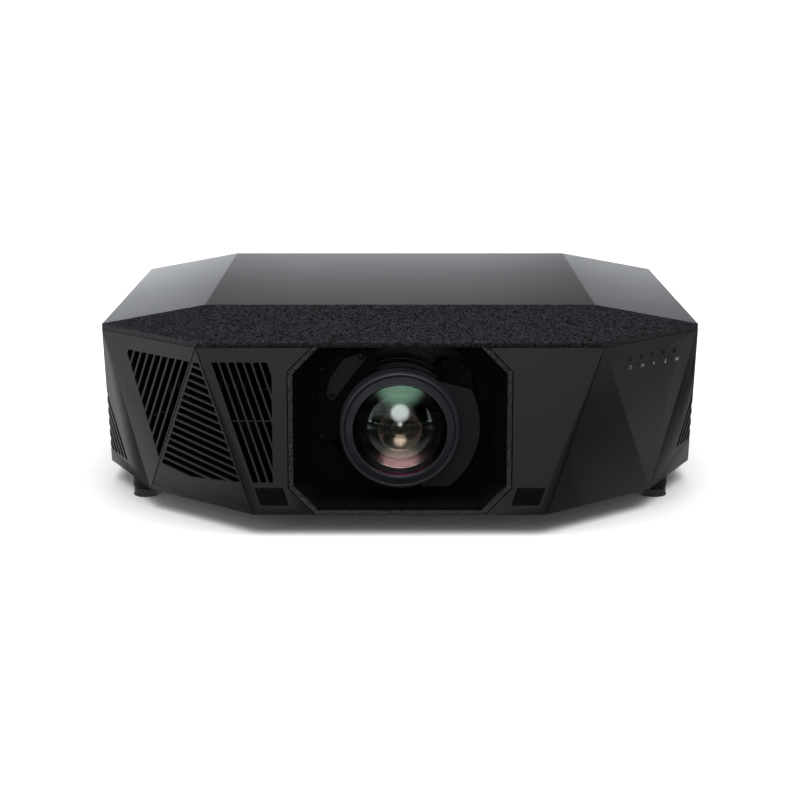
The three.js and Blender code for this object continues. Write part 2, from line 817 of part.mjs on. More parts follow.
part('status_light_bar', statusLightBar(), darkGloss);
part('rear_left_corner_panel', moulding(['rearLeftCheek', 'rearLeftNose']), coat);
part('rear_right_corner_panel', moulding(['rearRightCheek', 'rearRightNose']), coat);

// ---- lens window and recess ----------------------------------------------------------------

const trimSolid = facetWall('front', ['front'], trimDepth)
  .intersect(windowHole(trimWidth))
  .subtract(windowHole(0));
part('lens_window_trim', trimSolid, coarseCoat);

const beyond = 0.05; // the inner cut runs past both ends of the recess
part('lens_funnel', lofted(funnelRing(0, funnelWall), funnelRing(1, funnelWall))
  .subtract(lofted(funnelRing(-beyond, 0), funnelRing(1 + beyond, 0))), blackPlastic);

const bayPlateHalfWidth = halfWindow + bayPlateMargin;
const bayPlate = block(-bayPlateHalfWidth, bayPlateHalfWidth,
  bayPlateFront, bayPlateFront + wall, floorTop + fit, rimLevel - seam);
const bayHole = round(bayHoleRadius, bayPlateFront - wall, bayPlateFront + 2 * wall, 64);
part('lens_bay_plate',
  bayPlate.subtract(bayHole.translate([0, 0, lensAxisHeight + bayHoleRise])), blackPlastic);

// ---- feet ----------------------------------------------------------------------------------

function footAt(sx, sy) {
  const group = new THREE.Group();
  group.position.set(sx * footX, sy * footY, 0);
  projector.add(group);
  return group;
}

for (const [side, sx] of [['left', -1], ['right', 1]]) {
  const front = footAt(sx, -1);
  const socket = upright(stemRadius + fit, 0, 0, padHeight - stemSocket, padHeight + 1);
  part(`front_${side}_foot_pad`, upright(padRadius, 0, 0, 0, padHeight).subtract(socket), rubber, front);
  const stemBottom = padHeight - stemSocket + fit;
  part(`front_${side}_foot_stem`, upright(stemRadius, 0, 0, stemBottom, stemTop, 16), bareMetal, front);
  const stud = upright(rearStudRadius, 0, 0, padHeight - 1, floorTop, 16);
  part(`rear_${side}_foot`, upright(padRadius, 0, 0, 0, padHeight).add(stud), rubber, footAt(sx, 1));
}

// ---- lens ----------------------------------------------------------------------------------

const lens = new THREE.Group();
lens.position.set(0, 0, lensAxisHeight);
projector.add(lens);

const bezelBack = lensFront + bezelLength;
const barrelFront = bezelBack + fit;
const grooveEnd = barrelFront + grooveLength;
const collarEnd = grooveEnd + collarLength;
const flangeFront = mountPlane - fit - flangeThickness;
const seat = glassRadius + fit;

part('lens_bezel', turned([
  [seat, bezelBack], [bezelRadius, bezelBack], [bezelRadius, lensFront + bezelShoulder],
  [bezelRadius - bezelNeckInset, lensFront + bezelNeck],
  [bezelRadius - bezelRidgeInset, lensFront],
  [bezelRadius - bezelLipInset, lensFront + bezelLipDepth],
  [seat + bezelConeRim, lensFront + bezelConeDepth], [seat, lensFront + bezelSeatDepth],
], 48), satinMetal, lens);

part('lens_barrel', turned([
  [barrelBore, barrelFront], [grooveRadius, barrelFront], [grooveRadius, grooveEnd],
  [collarRadius, grooveEnd], [collarRadius, collarEnd], [barrelRadius, collarEnd],
  [barrelRadius, flangeFront], [flangeRadius, flangeFront], [flangeRadius, mountPlane - fit],
  [rearTubeRadius, mountPlane - fit], [rearTubeRadius, rearTubeEnd],
  [rearTubeBore, rearTubeEnd], [rearTubeBore, flangeFront - boreStep],
  [barrelBore, flangeFront - boreStep],
]), blackPlastic, lens);

// A lens element from its edge radius, its edge's two ends and each face's bulge.
function element(radius, edgeFront, edgeBack, frontBulge, backBulge, segments = 36) {
  const steps = 4;
  const curve = (edge, bulge) => Array.from({ length: steps }, (_, i) => {
    const share = i / steps;
    return [radius * share, edge + bulge * (1 - share * share)];
  });
  const front = curve(edgeFront, -frontBulge);
  const back = curve(edgeBack, backBulge).reverse();
  return turned([...front, [radius, edgeFront], [radius, edgeBack], ...back], segments);
}

part('front_lens_element', element(
  glassRadius, lensFront + glassDepth, bezelBack - glassBackGap, glassBulge, -glassHollow,
), glass, lens);
part('rear_lens_element', element(
  rearTubeBore - fit, rearTubeEnd - rearGlassFront, rearTubeEnd - rearGlassBack,
  rearGlassFrontBulge, rearGlassBackBulge, 32,
), glass, lens);

const ringInner = barrelRadius + fit;
const ringOuter = ringInner + ringThickness;
const ringBand = (front) => turned([
  [ringInner, front], [ringOuter, front],
  [ringOuter, front + ringLength], [ringInner, front + ringLength],
]);
const focusRingFront = lensFront + focusRingDepth;
const zoomRingFront = lensFront + zoomRingDepth;
part('focus_ring', ringBand(focusRingFront), satinMetal, lens);
part('zoom_ring', ringBand(zoomRingFront), satinMetal, lens);

// The drive motors' housing stands out to the right of the barrel, between two flats.
const housingFront = collarEnd + fit;
const housingBack = housingFront + motorHousingLength;
const housingTop = new THREE.Vector3(motorHousingSlope, 0, 1).normalize();
const barrelClear = round(ringInner, housingFront - 1, housingBack + 1, 48);
const housingCut = enclosed([
  along(-1, 0, 0, -motorHousingLeft),
  along(0, 0, -1, -motorHousingLow),
  halfSpace(housingTop, housingTop.dot(new THREE.Vector3(motorHousingHighX, 0, motorHousingHigh))),
  along(1, 0, 0, motorHousingRadius + 1),
  along(0, -1, 0, -housingFront),
  along(0, 1, 0, housingBack),
]);
part('lens_motor_housing', round(motorHousingRadius, housingFront - 1, housingBack + 1, 72)
  .intersect(housingCut).subtract(barrelClear), blackPlastic, lens);

function pinion(name, ringFront, angle) {
  const reach = ringOuter + fit + pinionRadius;
  const turn = THREE.MathUtils.degToRad(angle);
  const solid = round(pinionRadius, ringFront, ringFront + ringLength, 24)
    .add(round(pinionShaftRadius, housingBack + fit, ringFront + 1, 12));
  const mesh = part(name, solid, bareMetal, lens);
  mesh.position.set(reach * Math.cos(turn), 0, reach * Math.sin(turn));
}

pinion('focus_pinion', focusRingFront, focusPinionAngle);
pinion('zoom_pinion', zoomRingFront, zoomPinionAngle);

// Two stacked plates hold the barrel's upper left side; their outlines are from the lens axis.
const bracketOutline = [
  [-52.3, 60.5], [-35.5, 66.4], [-30.6, 61.4], [-61.8, 20.4], [-68, 25.4], [-65.2, 40.8],
];
const baseOutline = [
  [-76.5, -18], [-76.5, 46.5], [-72, 51.5], [-54, 72], [-22, 72], [-22, 30], [-40, -18],
];
const baseFront = housingBack + fit;
const baseBack = baseFront + wall;
part('lens_bracket_base', plate(baseOutline, baseFront, baseBack)
  .subtract(round(ringInner, baseFront - 1, baseBack + 1, 48)), blackPlastic, lens);
const bracketBack = baseFront - fit;
part('lens_bracket', plate(bracketOutline, bracketBack - bracketThickness, bracketBack),
  blackPlastic, lens);

// Lens-shift stack: the barrel's carriage slides sideways on a carriage that slides up and down.
const carriageBack = mountPlane + plateThickness;
const verticalFront = carriageBack + plateGap;
const verticalBack = verticalFront + plateThickness;
const frameFront = verticalBack + plateGap;
const frameBack = frameFront + plateThickness;
const tubeClear = rearTubeRadius + fit;
const carriageHalf = flangeRadius + carriageMargin;

part('horizontal_carriage', block(
  -carriageHalf, carriageHalf, mountPlane, carriageBack, -flangeRadius - 2, flangeRadius + 2,
).subtract(round(tubeClear, mountPlane - 1, carriageBack + 1)), bareMetal, lens);

const verticalWindow = block(
  -tubeClear - shiftX - 1, tubeClear + shiftX + 1,
  verticalFront - 1, verticalBack + 1, -tubeClear - 1, tubeClear + 1);
part('vertical_carriage', block(
  -carriageHalf - verticalMargin, carriageHalf + verticalMargin, verticalFront, verticalBack,
  -flangeRadius + 2, flangeRadius - 2,
).subtract(verticalWindow), bareMetal, lens);

const frameHalf = carriageHalf + frameMargin;
const frameWindow = block(
  -tubeClear - shiftX - 1, tubeClear + shiftX + 1, frameFront - 1, frameBack + 1,
  lensAxisHeight - tubeClear - shiftZ - 2, lensAxisHeight + tubeClear + shiftZ + 2);
const frameFoot = block(
  -frameHalf, frameHalf, frameFront, frameBack + frameFootDepth,
  floorTop + fit, floorTop + fit + frameFootHeight);
part('shift_base_frame', block(
  -frameHalf, frameHalf, frameFront, frameBack, floorTop + fit, rimLevel - 4,
).subtract(frameWindow).add(frameFoot), bareMetal);

// ---- light engine --------------------------------------------------------------------------

const engineFloor = floorTop + fit;
const prismBottom = lensAxisHeight - prismSize / 2;
const prismFront = engineFront + engineWall + 2;

function engineHousing() {
  const outer = block(
    -engineHalfWidth, engineHalfWidth, engineFront, engineBack, engineFloor, engineTop);
  const inner = block(
    -engineHalfWidth + engineWall, engineHalfWidth - engineWall,
    engineFront + engineWall, engineBack - engineWall, engineFloor + engineWall, engineTop + 1);
  const pedestal = block(
    -prismSize / 2 - prismMargin, prismSize / 2 + prismMargin, engineFront + 1,
    prismFront + prismSize + prismMargin, engineFloor + 1, prismBottom - fit);
  const lightPath = round(
    prismSize / 2 - lightPathInset, engineFront - 1, engineFront + engineWall + 1, 32);
  const laserPath = round(prismSize / 3, engineBack - engineWall - 1, engineBack + 1, 24);
  return without(outer.subtract(inner).add(pedestal), [
    lightPath.translate([0, 0, lensAxisHeight]),
    laserPath.translate([-wheelX, 0, wheelHeight]),
    laserPath.translate([wheelX, 0, wheelHeight]),
  ]);
}

part('optical_engine_housing', engineHousing(), bareMetal);

const prismMesh = part('dichroic_prism', block(
  -prismSize / 2, prismSize / 2, 0, prismSize, 0, prismSize), glass);
prismMesh.position.set(0, prismFront, prismBottom);

// Fins stand side by side on a base; the base lies from z0 up and the fins face up.
function finned(width, depth, baseHeight, finHeight, count) {
  const pitch = width / count;
  const fins = Array.from({ length: count }, (_, i) =>
    block(i * pitch, i * pitch + pitch / 3, 0, depth, baseHeight - 1, baseHeight + finHeight));
  return joined([block(0, width, 0, depth, 0, baseHeight), ...fins]);
}

const heatSink = part('heat_sink', finned(
  heatSinkWidth, heatSinkDepth, heatSinkBase, heatSinkFins, finCount,
), bareMetal);
heatSink.position.set(heatSinkX, heatSinkY, engineFloor);

function laserModule() {
  const fins = Array.from({ length: finCount }, (_, i) => {
    const low = finStart + (i * (laserHeight - 2 * finStart)) / finCount;
    return block(0, laserWidth, laserDepth - 1, laserDepth + finReach, low, low + finThickness);
  });
  return joined([block(0, laserWidth, 0, laserDepth, 0, laserHeight), ...fins]);
}
const laser = part('laser_module', laserModule(), bareMetal);
laser.position.set(-wheelX - laserWidth / 2, engineBack + laserGap, engineFloor);

const wheelBracketFront = engineBack + wheelBracketGap;
const wheelBracketBack = wheelBracketFront + wheelBracketThickness;
const wheelHubBack = wheelBracketBack + wheelBracketHub;
const wheelBracketHalf = wheelRadius + wheelBracketMargin;
const bracketHub = round(wheelHubRadius, wheelBracketBack - 1, wheelHubBack, 24);
part('wheel_bracket', block(
  wheelX - wheelBracketHalf, wheelX + wheelBracketHalf, wheelBracketFront, wheelBracketBack,
  engineFloor, wheelHeight + wheelRadius + wheelBracketHead,
).add(bracketHub.translate([wheelX, 0, wheelHeight])), bareMetal);

const wheelFront = wheelHubBack + 1;
const wheel = part('phosphor_wheel', round(wheelRadius, wheelFront, wheelFront + wheelThickness)
  .add(round(wheelHubRadius, wheelHubBack + fit, wheelHubBack + wheelHubLength, 24)), bareMetal);
wheel.position.set(wheelX, 0, wheelHeight);

// ---- fans ----------------------------------------------------------------------------------

// Frame and rotor share an axis along Y and are centred on it.
function fanFrame(size) {
  const half = size / 2;
  const front = -fanThickness / 2;
  const back = fanThickness / 2;
  const bore = half - fanBoreInset;
  const hub = half * fanHubShare;
  const body = block(-half, half, front, back, -half, half)
    .subtract(round(bore, front - 1, back + 1, 40));
  const spokes = [
    block(-bore - 1, bore + 1, back - fanSpoke, back, -fanSpoke, fanSpoke),
    block(-fanSpoke, fanSpoke, back - fanSpoke, back, -bore - 1, bore + 1),
  ];
  return joined([body, round(hub, back - fanSpoke, back, 32), ...spokes]);
}

function fanRotor(size) {
  const hub = size * 0.5 * fanHubShare;
  const tip = size / 2 - fanBoreInset - fanTipGap;
  const front = -fanThickness / 2 + fanRotorGap;
  const back = fanThickness / 2 - fanSpoke - 1;
  const blade = new THREE.BoxGeometry(
    tip - hub + 3, fanBladeThickness, (back - front) * fanBladeShare);
  blade.rotateX(Math.PI / 2);
  blade.rotateX(THREE.MathUtils.degToRad(bladePitch));
  blade.translate((tip + hub - 3) / 2, (front + back) / 2, 0);
  const blades = Array.from({ length: bladeCount }, (_, i) =>
    solidFrom(blade.clone().rotateY((2 * Math.PI * i) / bladeCount)));
  return joined([round(hub, front, back, 32), ...blades]).intersect(round(tip, front, back, 40));
}

const exhaust = new THREE.Group();
exhaust.position.set(
  exhaustFanX + fanThickness / 2, 0, floorTop + fanAbove + exhaustFanSize / 2);
exhaust.rotation.z = -Math.PI / 2;
projector.add(exhaust);
part('exhaust_fan_frame', fanFrame(exhaustFanSize), blackPlastic, exhaust);
part('exhaust_fan_rotor', fanRotor(exhaustFanSize), blackPlastic, exhaust);

// The intake fan stands upright behind the filter and faces the way the filter cover does.
const noseFacet = facets.frontLeftNose;
const noseWay = new THREE.Vector3(noseFacet.normal.x, noseFacet.normal.y, 0).normalize();
const noseCentre = new THREE.Vector3();
['rimFront', 'lowFront', 'lowMid'].forEach((key) =>
  noseCentre.addScaledVector(quarters.frontLeft[key], 1 / 3));
const fanBehind = wall + filterGap + filterThickness + intakeFanGap + fanThickness / 2;
const intake = new THREE.Group();
intake.position.copy(noseCentre).addScaledVector(noseWay, -fanBehind);
intake.position.z = floorTop + fanAbove + intakeFanSize / 2;
intake.rotation.z = Math.atan2(noseWay.y, noseWay.x) + Math.PI / 2;
projector.add(intake);
part('intake_fan_frame', fanFrame(intakeFanSize), blackPlastic, intake);
part('intake_fan_rotor', fanRotor(intakeFanSize), blackPlastic, intake);

const filterFace = moved(noseFacet, -wall - filterGap);
part('air_filter', enclosed([
  filterFace,
  flipped(moved(filterFace, -filterThickness)),
  edgeLine(noseFacet, rim, coverGrilleTop),
  edgeLine(noseFacet, facets.bottom, filterInset + wall),
  edgeLine(noseFacet, facets.front, filterInset),
  edgeLine(noseFacet, facets.frontLeftCheek, filterInset),
]), filterFoam);

// ---- back of the case: connectors, inlet and keys ------------------------------------------

const sockets = [
  { name: 'hdmi_socket_1', x: -90, width: 15.6, height: 6.4, mouthWidth: 14.2, mouthHeight: 4.8 },
  { name: 'hdmi_socket_2', x: -62, width: 15.6, height: 6.4, mouthWidth: 14.2, mouthHeight: 4.8 },
  { name: 'lan_socket', x: -30, width: 16, height: 13.6, mouthWidth: 12, mouthHeight: 8.5 },
];
const socketBottom = boardHeight + boardThickness + fit;
const socketMouth = trayFloor + trayWall - fit;

function socketOutline({ x, width, height }, grow, y0, y1) {
  return block(x - width / 2 - grow, x + width / 2 + grow, y0, y1,
    socketBottom - grow, socketBottom + height + grow);
}

const tray = block(trayLeft, trayRight, trayFloor, trayMouth, trayBottom, trayTop).subtract(block(
  trayLeft + trayWall, trayRight - trayWall, trayFloor + trayWall, trayMouth + 1,
  trayBottom + trayWall, trayTop - trayWall));
part('connector_tray', without(tray, sockets.map((socket) =>
  socketOutline(socket, fit, trayFloor - 1, trayFloor + trayWall + 1))), blackPlastic);

for (const socket of sockets) {
  const { name, x, height, mouthWidth, mouthHeight } = socket;
  const body = socketOutline(socket, 0, socketMouth - socketDepth, socketMouth);
  const low = socketBottom + (height - mouthHeight) / 2;
  const mouth = block(x - mouthWidth / 2, x + mouthWidth / 2,
    socketMouth - socketDepth + socketBackWall, socketMouth + 1, low, low + mouthHeight);
  part(name, body.subtract(mouth), bareMetal);
}

part('main_board', block(
  boardLeft, boardRight, boardFront, boardBack, boardHeight, boardHeight + boardThickness,
), circuit);

const supply = part('power_supply', block(
  0, powerSupplyWidth, 0, powerSupplyDepth, 0, powerSupplyHeight), bareMetal);
supply.position.set(engineHalfWidth + 6, powerSupplyFront, engineFloor);

function powerInlet() {
  const halfInlet = inletWidth / 2;
  const body = block(
    -halfInlet, halfInlet, 0, inletMouth - inletBack, -inletHeight / 2, inletHeight / 2);
  const recess = block(
    -inletRecessWidth / 2, inletRecessWidth / 2, wall, inletMouth - inletBack + 1,
    -inletRecessHeight / 2, inletRecessHeight / 2);
  const pins = [-inletPinPitch, 0, inletPinPitch].map((x) =>
    block(x - 1, x + 1, wall - 1, wall + inletPinLength, -2, 2));
  return joined([body.subtract(recess), ...pins]);
}
const inlet = part('power_inlet', powerInlet(), darkGloss);
inlet.position.set(inletX, inletBack, inletZ);

// A key's frame: its origin on the rear panel's face, with Y pointing straight out of it.
function keyFrame(x, z) {
  const group = new THREE.Group();
  group.position.set(x, rearSurface(z), z);
  group.rotation.x = frontLean;
  group.updateMatrix();
  return group;
}

const keys = [
  { name: 'power_button', x: powerKeyX, z: upperKeyZ, radius: keyRadius },
  { name: 'menu_button', x: keyX, z: upperKeyZ, radius: keyRadius },
  { name: 'escape_button', x: keyX, z: lowerKeyZ, radius: keyRadius },
  { name: 'enter_button', x: padKeyX, z: padKeyZ, radius: padKeyInner - keyClearance },
];
const flangeOuter = -wall - keyTravelGap;
const flangeInner = flangeOuter - keyFlangeThickness;

const keyHole = ({ x, z, radius }) => {
  const solid = round(radius + keyClearance, -2 * wall, wall, 24);
  return solid.transform(keyFrame(x, z).matrix.toArray());
};

const rearOpenings = [
  block(trayLeft - fit, trayRight + fit, trayFloor - 1, halfDepth + 1, trayBottom - fit, trayTop + fit),
  block(inletX - inletWidth / 2 - fit, inletX + inletWidth / 2 + fit, inletBack - 1, halfDepth + 1,
    inletZ - inletHeight / 2 - fit, inletZ + inletHeight / 2 + fit),
  ...keys.slice(0, 3).map(keyHole),
  keyHole({ x: padKeyX, z: padKeyZ, radius: padKeyOuter }),
];
part('rear_panel', without(facetWall('rear'), rearOpenings), coat);

for (const { name, x, z, radius } of keys) {
  const frame = keyFrame(x, z);
  projector.add(frame);
  const enter = name === 'enter_button';
  const flange = enter ? radius : radius + keyFlange;
  part(name, turned([
    [0, flangeInner], [flange, flangeInner], [flange, flangeOuter], [radius, flangeOuter],
    [radius, keyProud - keyEdge], [radius - keyEdge, keyProud], [0, keyProud],
  ], 24), blackPlastic, frame);
}

const padFrame = keyFrame(padKeyX, padKeyZ);
projector.add(padFrame);
part('direction_ring', turned([
  [padKeyInner, flangeInner], [padKeyOuter + keyFlange, flangeInner],
  [padKeyOuter + keyFlange, flangeOuter], [padKeyOuter, flangeOuter],
  [padKeyOuter, keyProud - keyEdge], [padKeyOuter - keyEdge, keyProud], [padKeyInner, keyProud],
], 32), blackPlastic, padFrame);

export default projector;
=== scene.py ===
"""Finishes a home projector round its jointed frame: coats, lens, glass, grilles and fittings.

The frame gives every place and size that joins to something else. Lengths are in metres,
+Z is up and the lens looks along -Y.
"""

import json
import math
from contextlib import contextmanager

import bmesh
import bpy
from mathutils import Matrix, Vector


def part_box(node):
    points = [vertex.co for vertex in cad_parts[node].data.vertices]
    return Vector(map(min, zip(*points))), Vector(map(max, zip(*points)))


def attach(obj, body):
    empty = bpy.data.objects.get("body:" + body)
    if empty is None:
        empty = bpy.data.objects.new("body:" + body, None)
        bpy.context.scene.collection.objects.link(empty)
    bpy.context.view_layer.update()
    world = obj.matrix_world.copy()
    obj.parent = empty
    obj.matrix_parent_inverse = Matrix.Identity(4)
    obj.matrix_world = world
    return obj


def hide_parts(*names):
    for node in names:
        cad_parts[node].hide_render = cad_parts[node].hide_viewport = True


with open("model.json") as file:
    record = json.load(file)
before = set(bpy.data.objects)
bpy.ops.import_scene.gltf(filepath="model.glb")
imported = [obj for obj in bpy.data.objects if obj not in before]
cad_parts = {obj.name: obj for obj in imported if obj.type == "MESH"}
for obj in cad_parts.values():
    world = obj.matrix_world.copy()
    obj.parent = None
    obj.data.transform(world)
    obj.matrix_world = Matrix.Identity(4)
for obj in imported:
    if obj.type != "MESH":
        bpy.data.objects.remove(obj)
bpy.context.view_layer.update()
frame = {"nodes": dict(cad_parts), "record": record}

bl_info = {
    "name": "Home projector finish",
    "version": (1, 0, 0),
    "blender": (4, 5, 0),
    "location": "3D View > Sidebar > Projector",
    "description": "Coats, glass, grilles and fittings of a faceted home projector",
    "category": "Object",
}

MM = 0.001
SHARP = math.radians(30)
WHOLE_TURN = 2 * math.pi
ROUND_STEPS = 144  # facets round the lens's large pieces


# ---- places taken from the frame -----------------------------------------------------------

RIM_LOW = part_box("top_cover")[0].z
RIM_HALF = Vector((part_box("top_cover")[1].x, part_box("top_cover")[1].y, 0))
LENS_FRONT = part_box("lens_bezel")[0].y
LENS_RADIUS = (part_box("lens_bezel")[1].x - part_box("lens_bezel")[0].x) / 2
LENS_AXIS = Vector((0, 0, (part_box("lens_bezel")[0].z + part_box("lens_bezel")[1].z) / 2))
GLASS_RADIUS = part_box("front_lens_element")[1].x
BODY_OF = {
    node: body for body, nodes in frame["record"]["behaviour"]["bodies"].items() for node in nodes
}


def flat_frame(point, across, up):
    """A matrix that lays a flat piece's X and Y along across and up, with its Z pointing out."""
    out = across.cross(up)
    turn = Matrix((across, up, out)).transposed().to_4x4()
    return Matrix.Translation(point) @ turn


FORWARD = (Vector((1, 0, 0)), Vector((0, 0, 1)))
BACKWARD = (Vector((-1, 0, 0)), Vector((0, 0, 1)))
DOWNWARD = (Vector((1, 0, 0)), Vector((0, -1, 0)))
UPWARD = (Vector((1, 0, 0)), Vector((0, 1, 0)))
RIGHTWARD = (Vector((0, 1, 0)), Vector((0, 0, 1)))
LEFTWARD = (Vector((0, -1, 0)), Vector((0, 0, 1)))


def facet_of(node, towards):
    """The outermost point and the normal of a CAD piece's biggest flat that faces a direction."""
    flats = {}
    for polygon in frame["nodes"][node].data.polygons:
        if polygon.normal.dot(towards) > 0.8:
            key = tuple(round(x, 2) for x in polygon.normal)
            flats.setdefault(key, []).append(polygon)
    biggest = max(flats.values(), key=lambda flat: sum(polygon.area for polygon in flat))
    normal = biggest[0].normal.copy()
    point = max((polygon.center.copy() for polygon in biggest), key=normal.dot)
    return point, normal


def facet_frame(node, towards):
    """A point on a CAD piece's biggest flat, its normal, and the flat's own across and up."""
    point, normal = facet_of(node, towards)
    across = Vector((0, 0, 1)).cross(normal).normalized()
    return point, normal, across, normal.cross(across)


def rear_middle(node):
    """The middle of a CAD piece's rear face."""
    low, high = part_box(node)
    return Vector(((low.x + high.x) / 2, high.y, (low.z + high.z) / 2))


# ---- modelling by hand ---------------------------------------------------------------------


def pick(*pieces):
    """Leaves only these objects selected, the last one active."""
    if bpy.context.object and bpy.context.object.mode != "OBJECT":
        bpy.ops.object.mode_set(mode="OBJECT")
    bpy.ops.object.select_all(action="DESELECT")
    for piece in pieces:
        piece.select_set(True)
        bpy.context.view_layer.objects.active = piece


@contextmanager
def editing(piece):
    """Edit mode on one piece, with everything in it selected."""
    pick(piece)
    bpy.ops.object.mode_set(mode="EDIT")
    bpy.ops.mesh.select_mode(type="VERT")
    bpy.ops.mesh.select_all(action="SELECT")
    yield
    bpy.ops.object.mode_set(mode="OBJECT")


def choose(piece, kind, wanted):
    """In edit mode, selects the verts, edges or faces that pass a test."""
    bpy.ops.mesh.select_mode(type=kind)
    bpy.ops.mesh.select_all(action="DESELECT")
    mesh = bmesh.from_edit_mesh(piece.data)
    items = {"VERT": mesh.verts, "EDGE": mesh.edges, "FACE": mesh.faces}[kind]
    for item in items:
        if wanted(item):
            item.select_set(True)
    bmesh.update_edit_mesh(piece.data)


def middle_of(edge):
    return (edge.verts[0].co + edge.verts[1].co) / 2


def named(name):
    """The active object under its final name."""
    piece = bpy.context.object
    piece.name = name
    piece.data.name = name
    return piece


def set_down(piece, place=None):
    """Applies a piece's place to its mesh, so that the object itself sits at the origin."""
    pick(piece)
    if place is not None:
        piece.matrix_world = place @ piece.matrix_world
    bpy.ops.object.transform_apply(location=True, rotation=True, scale=True)
    return piece


def apply(piece, modifier):
    pick(piece)
    bpy.ops.object.modifier_apply(modifier=modifier.name)


def smooth(piece, angle=SHARP):
    pick(piece)
    bpy.ops.object.shade_smooth_by_angle(angle=angle)


def round_edges(piece, radius, segments=2, angle=SHARP, wanted=None):
    """Rounds a piece's edges as moulding leaves them, with even shading on its flats."""
    pick(piece)
    bpy.ops.object.shade_smooth()
    bevel = piece.modifiers.new("edges", "BEVEL")
    bevel.width = radius
    bevel.segments = segments
    bevel.limit_method = "ANGLE"
    bevel.angle_limit = angle
    if wanted:
        with editing(piece):
            choose(piece, "EDGE", wanted)
            bpy.ops.transform.edge_bevelweight(value=1.0)
        bevel.limit_method = "WEIGHT"
    bevel.use_clamp_overlap = False
    bevel.harden_normals = True
    apply(piece, bevel)


def on_skin(edge):
    """Whether an edge stands out of the case's outer face, round its outline or round a slot."""
    if len(edge.link_faces) != 2 or not edge.is_convex:
        return False
    outward = [
        face.normal.dot(face.calc_center_median().xy.to_3d().normalized())
        for face in edge.link_faces
    ]
    return SHARP < edge.calc_face_angle() < math.radians(100) and max(outward) > 0.6


def paint(piece, material):
    piece.data.materials.clear()
    piece.data.materials.append(material)


def fit_to(piece, body, material=None):
    """Hands a finished piece to its CAD body and paints it with its finish, if one is given."""
    if material is not None:
        paint(piece, material)
    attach(piece, body)
    return piece


def moulded(node, radius, material, segments=2, wanted=None, suffix="finish"):
    """A copy of a CAD piece with its flats merged and its edges rounded, which stands for it."""
    copy = bpy.data.objects.new(f"{node}_{suffix}", frame["nodes"][node].data.copy())
    bpy.context.scene.collection.objects.link(copy)
    copy.data.name = copy.name
    with editing(copy):
        bpy.ops.mesh.customdata_custom_splitnormals_clear()
        bpy.ops.mesh.remove_doubles(threshold=0.005 * MM)
        bpy.ops.mesh.dissolve_limited(angle_limit=math.radians(0.3))
    if radius:
        round_edges(copy, radius, segments, wanted=wanted)
    else:
        smooth(copy)
    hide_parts(node)
    return fit_to(copy, BODY_OF[node], material)


def spun(name, outline, axis="Y", centre=LENS_AXIS, steps=96):
    """A turned piece from a closed outline of (radius, place along the axis) points."""
    lengthwise = Vector((0, 1, 0)) if axis == "Y" else Vector((0, 0, 1))
    base = centre - lengthwise * centre.dot(lengthwise)

    def place(point):
        return base + Vector((point[0], 0, 0)) + lengthwise * point[1]

    bpy.ops.mesh.primitive_plane_add(size=MM, location=place(outline[0]))
    piece = named(name)
    set_down(piece)
    with editing(piece):
        bpy.ops.mesh.merge(type="CENTER")
        for near, far in zip(outline, outline[1:] + outline[:1]):
            step = place(far) - place(near)
            bpy.ops.mesh.extrude_vertices_move(TRANSFORM_OT_translate={"value": step})
        bpy.ops.mesh.select_all(action="SELECT")
        bpy.ops.mesh.remove_doubles(threshold=0.001 * MM)
        bpy.ops.mesh.select_all(action="SELECT")
        bpy.ops.mesh.spin(steps=steps, angle=WHOLE_TURN, center=base, axis=lengthwise)
        bpy.ops.mesh.select_all(action="SELECT")
        bpy.ops.mesh.remove_doubles(threshold=0.001 * MM)
        bpy.ops.mesh.normals_make_consistent(inside=False)
    return piece


def block(name, middle, size):
    """A plain block round a middle."""
    pick()
    bpy.ops.mesh.primitive_cube_add(size=1, location=middle)
    piece = named(name)
    set_down(piece)
    with editing(piece):
        bpy.ops.transform.resize(value=size)
    return piece


def arc(radius, edge, bulge, steps):
    """Points of a lens face from the axis out to its rim; a positive bulge comes forwards."""
    curve = (radius**2 + bulge**2) / (2 * abs(bulge))
    points = []
    for i in range(steps + 1):
        reach = radius * i / steps
        drop = math.sqrt(curve**2 - reach**2) - (curve - abs(bulge))
        points.append((reach, edge - math.copysign(drop, bulge)))
    return points


def shell(name, radius, edge, bulge, wall, facets=20, steps=ROUND_STEPS):
    """A glass of even thickness between two like curves."""
    front = arc(radius, edge, bulge, facets)
    back = arc(radius, edge + wall, bulge, facets)
    return spun(name, front + back[::-1], steps=steps)


def copies(piece, names, places):
    """One copy of a piece at each place, each with its own mesh; the pattern itself goes."""
    made = []
    for name, place in zip(names, places):
        twin = piece.copy()
        twin.data = piece.data.copy()
        twin.name = name
        twin.data.name = name
        bpy.context.scene.collection.objects.link(twin)
        made.append(set_down(twin, place))
    bpy.data.objects.remove(piece)
    return made


# ---- shader groups -------------------------------------------------------------------------


def node(tree, kind, inputs=None, **settings):
    """A shader node with its settings, and its inputs linked or set."""
    made = tree.nodes.new(f"ShaderNode{kind}")
    for key, value in settings.items():
        setattr(made, key, value)
    for key, value in (inputs or {}).items():
        if isinstance(value, bpy.types.NodeSocket):
            tree.links.new(value, made.inputs[key])
        else:
            made.inputs[key].default_value = value
    return made


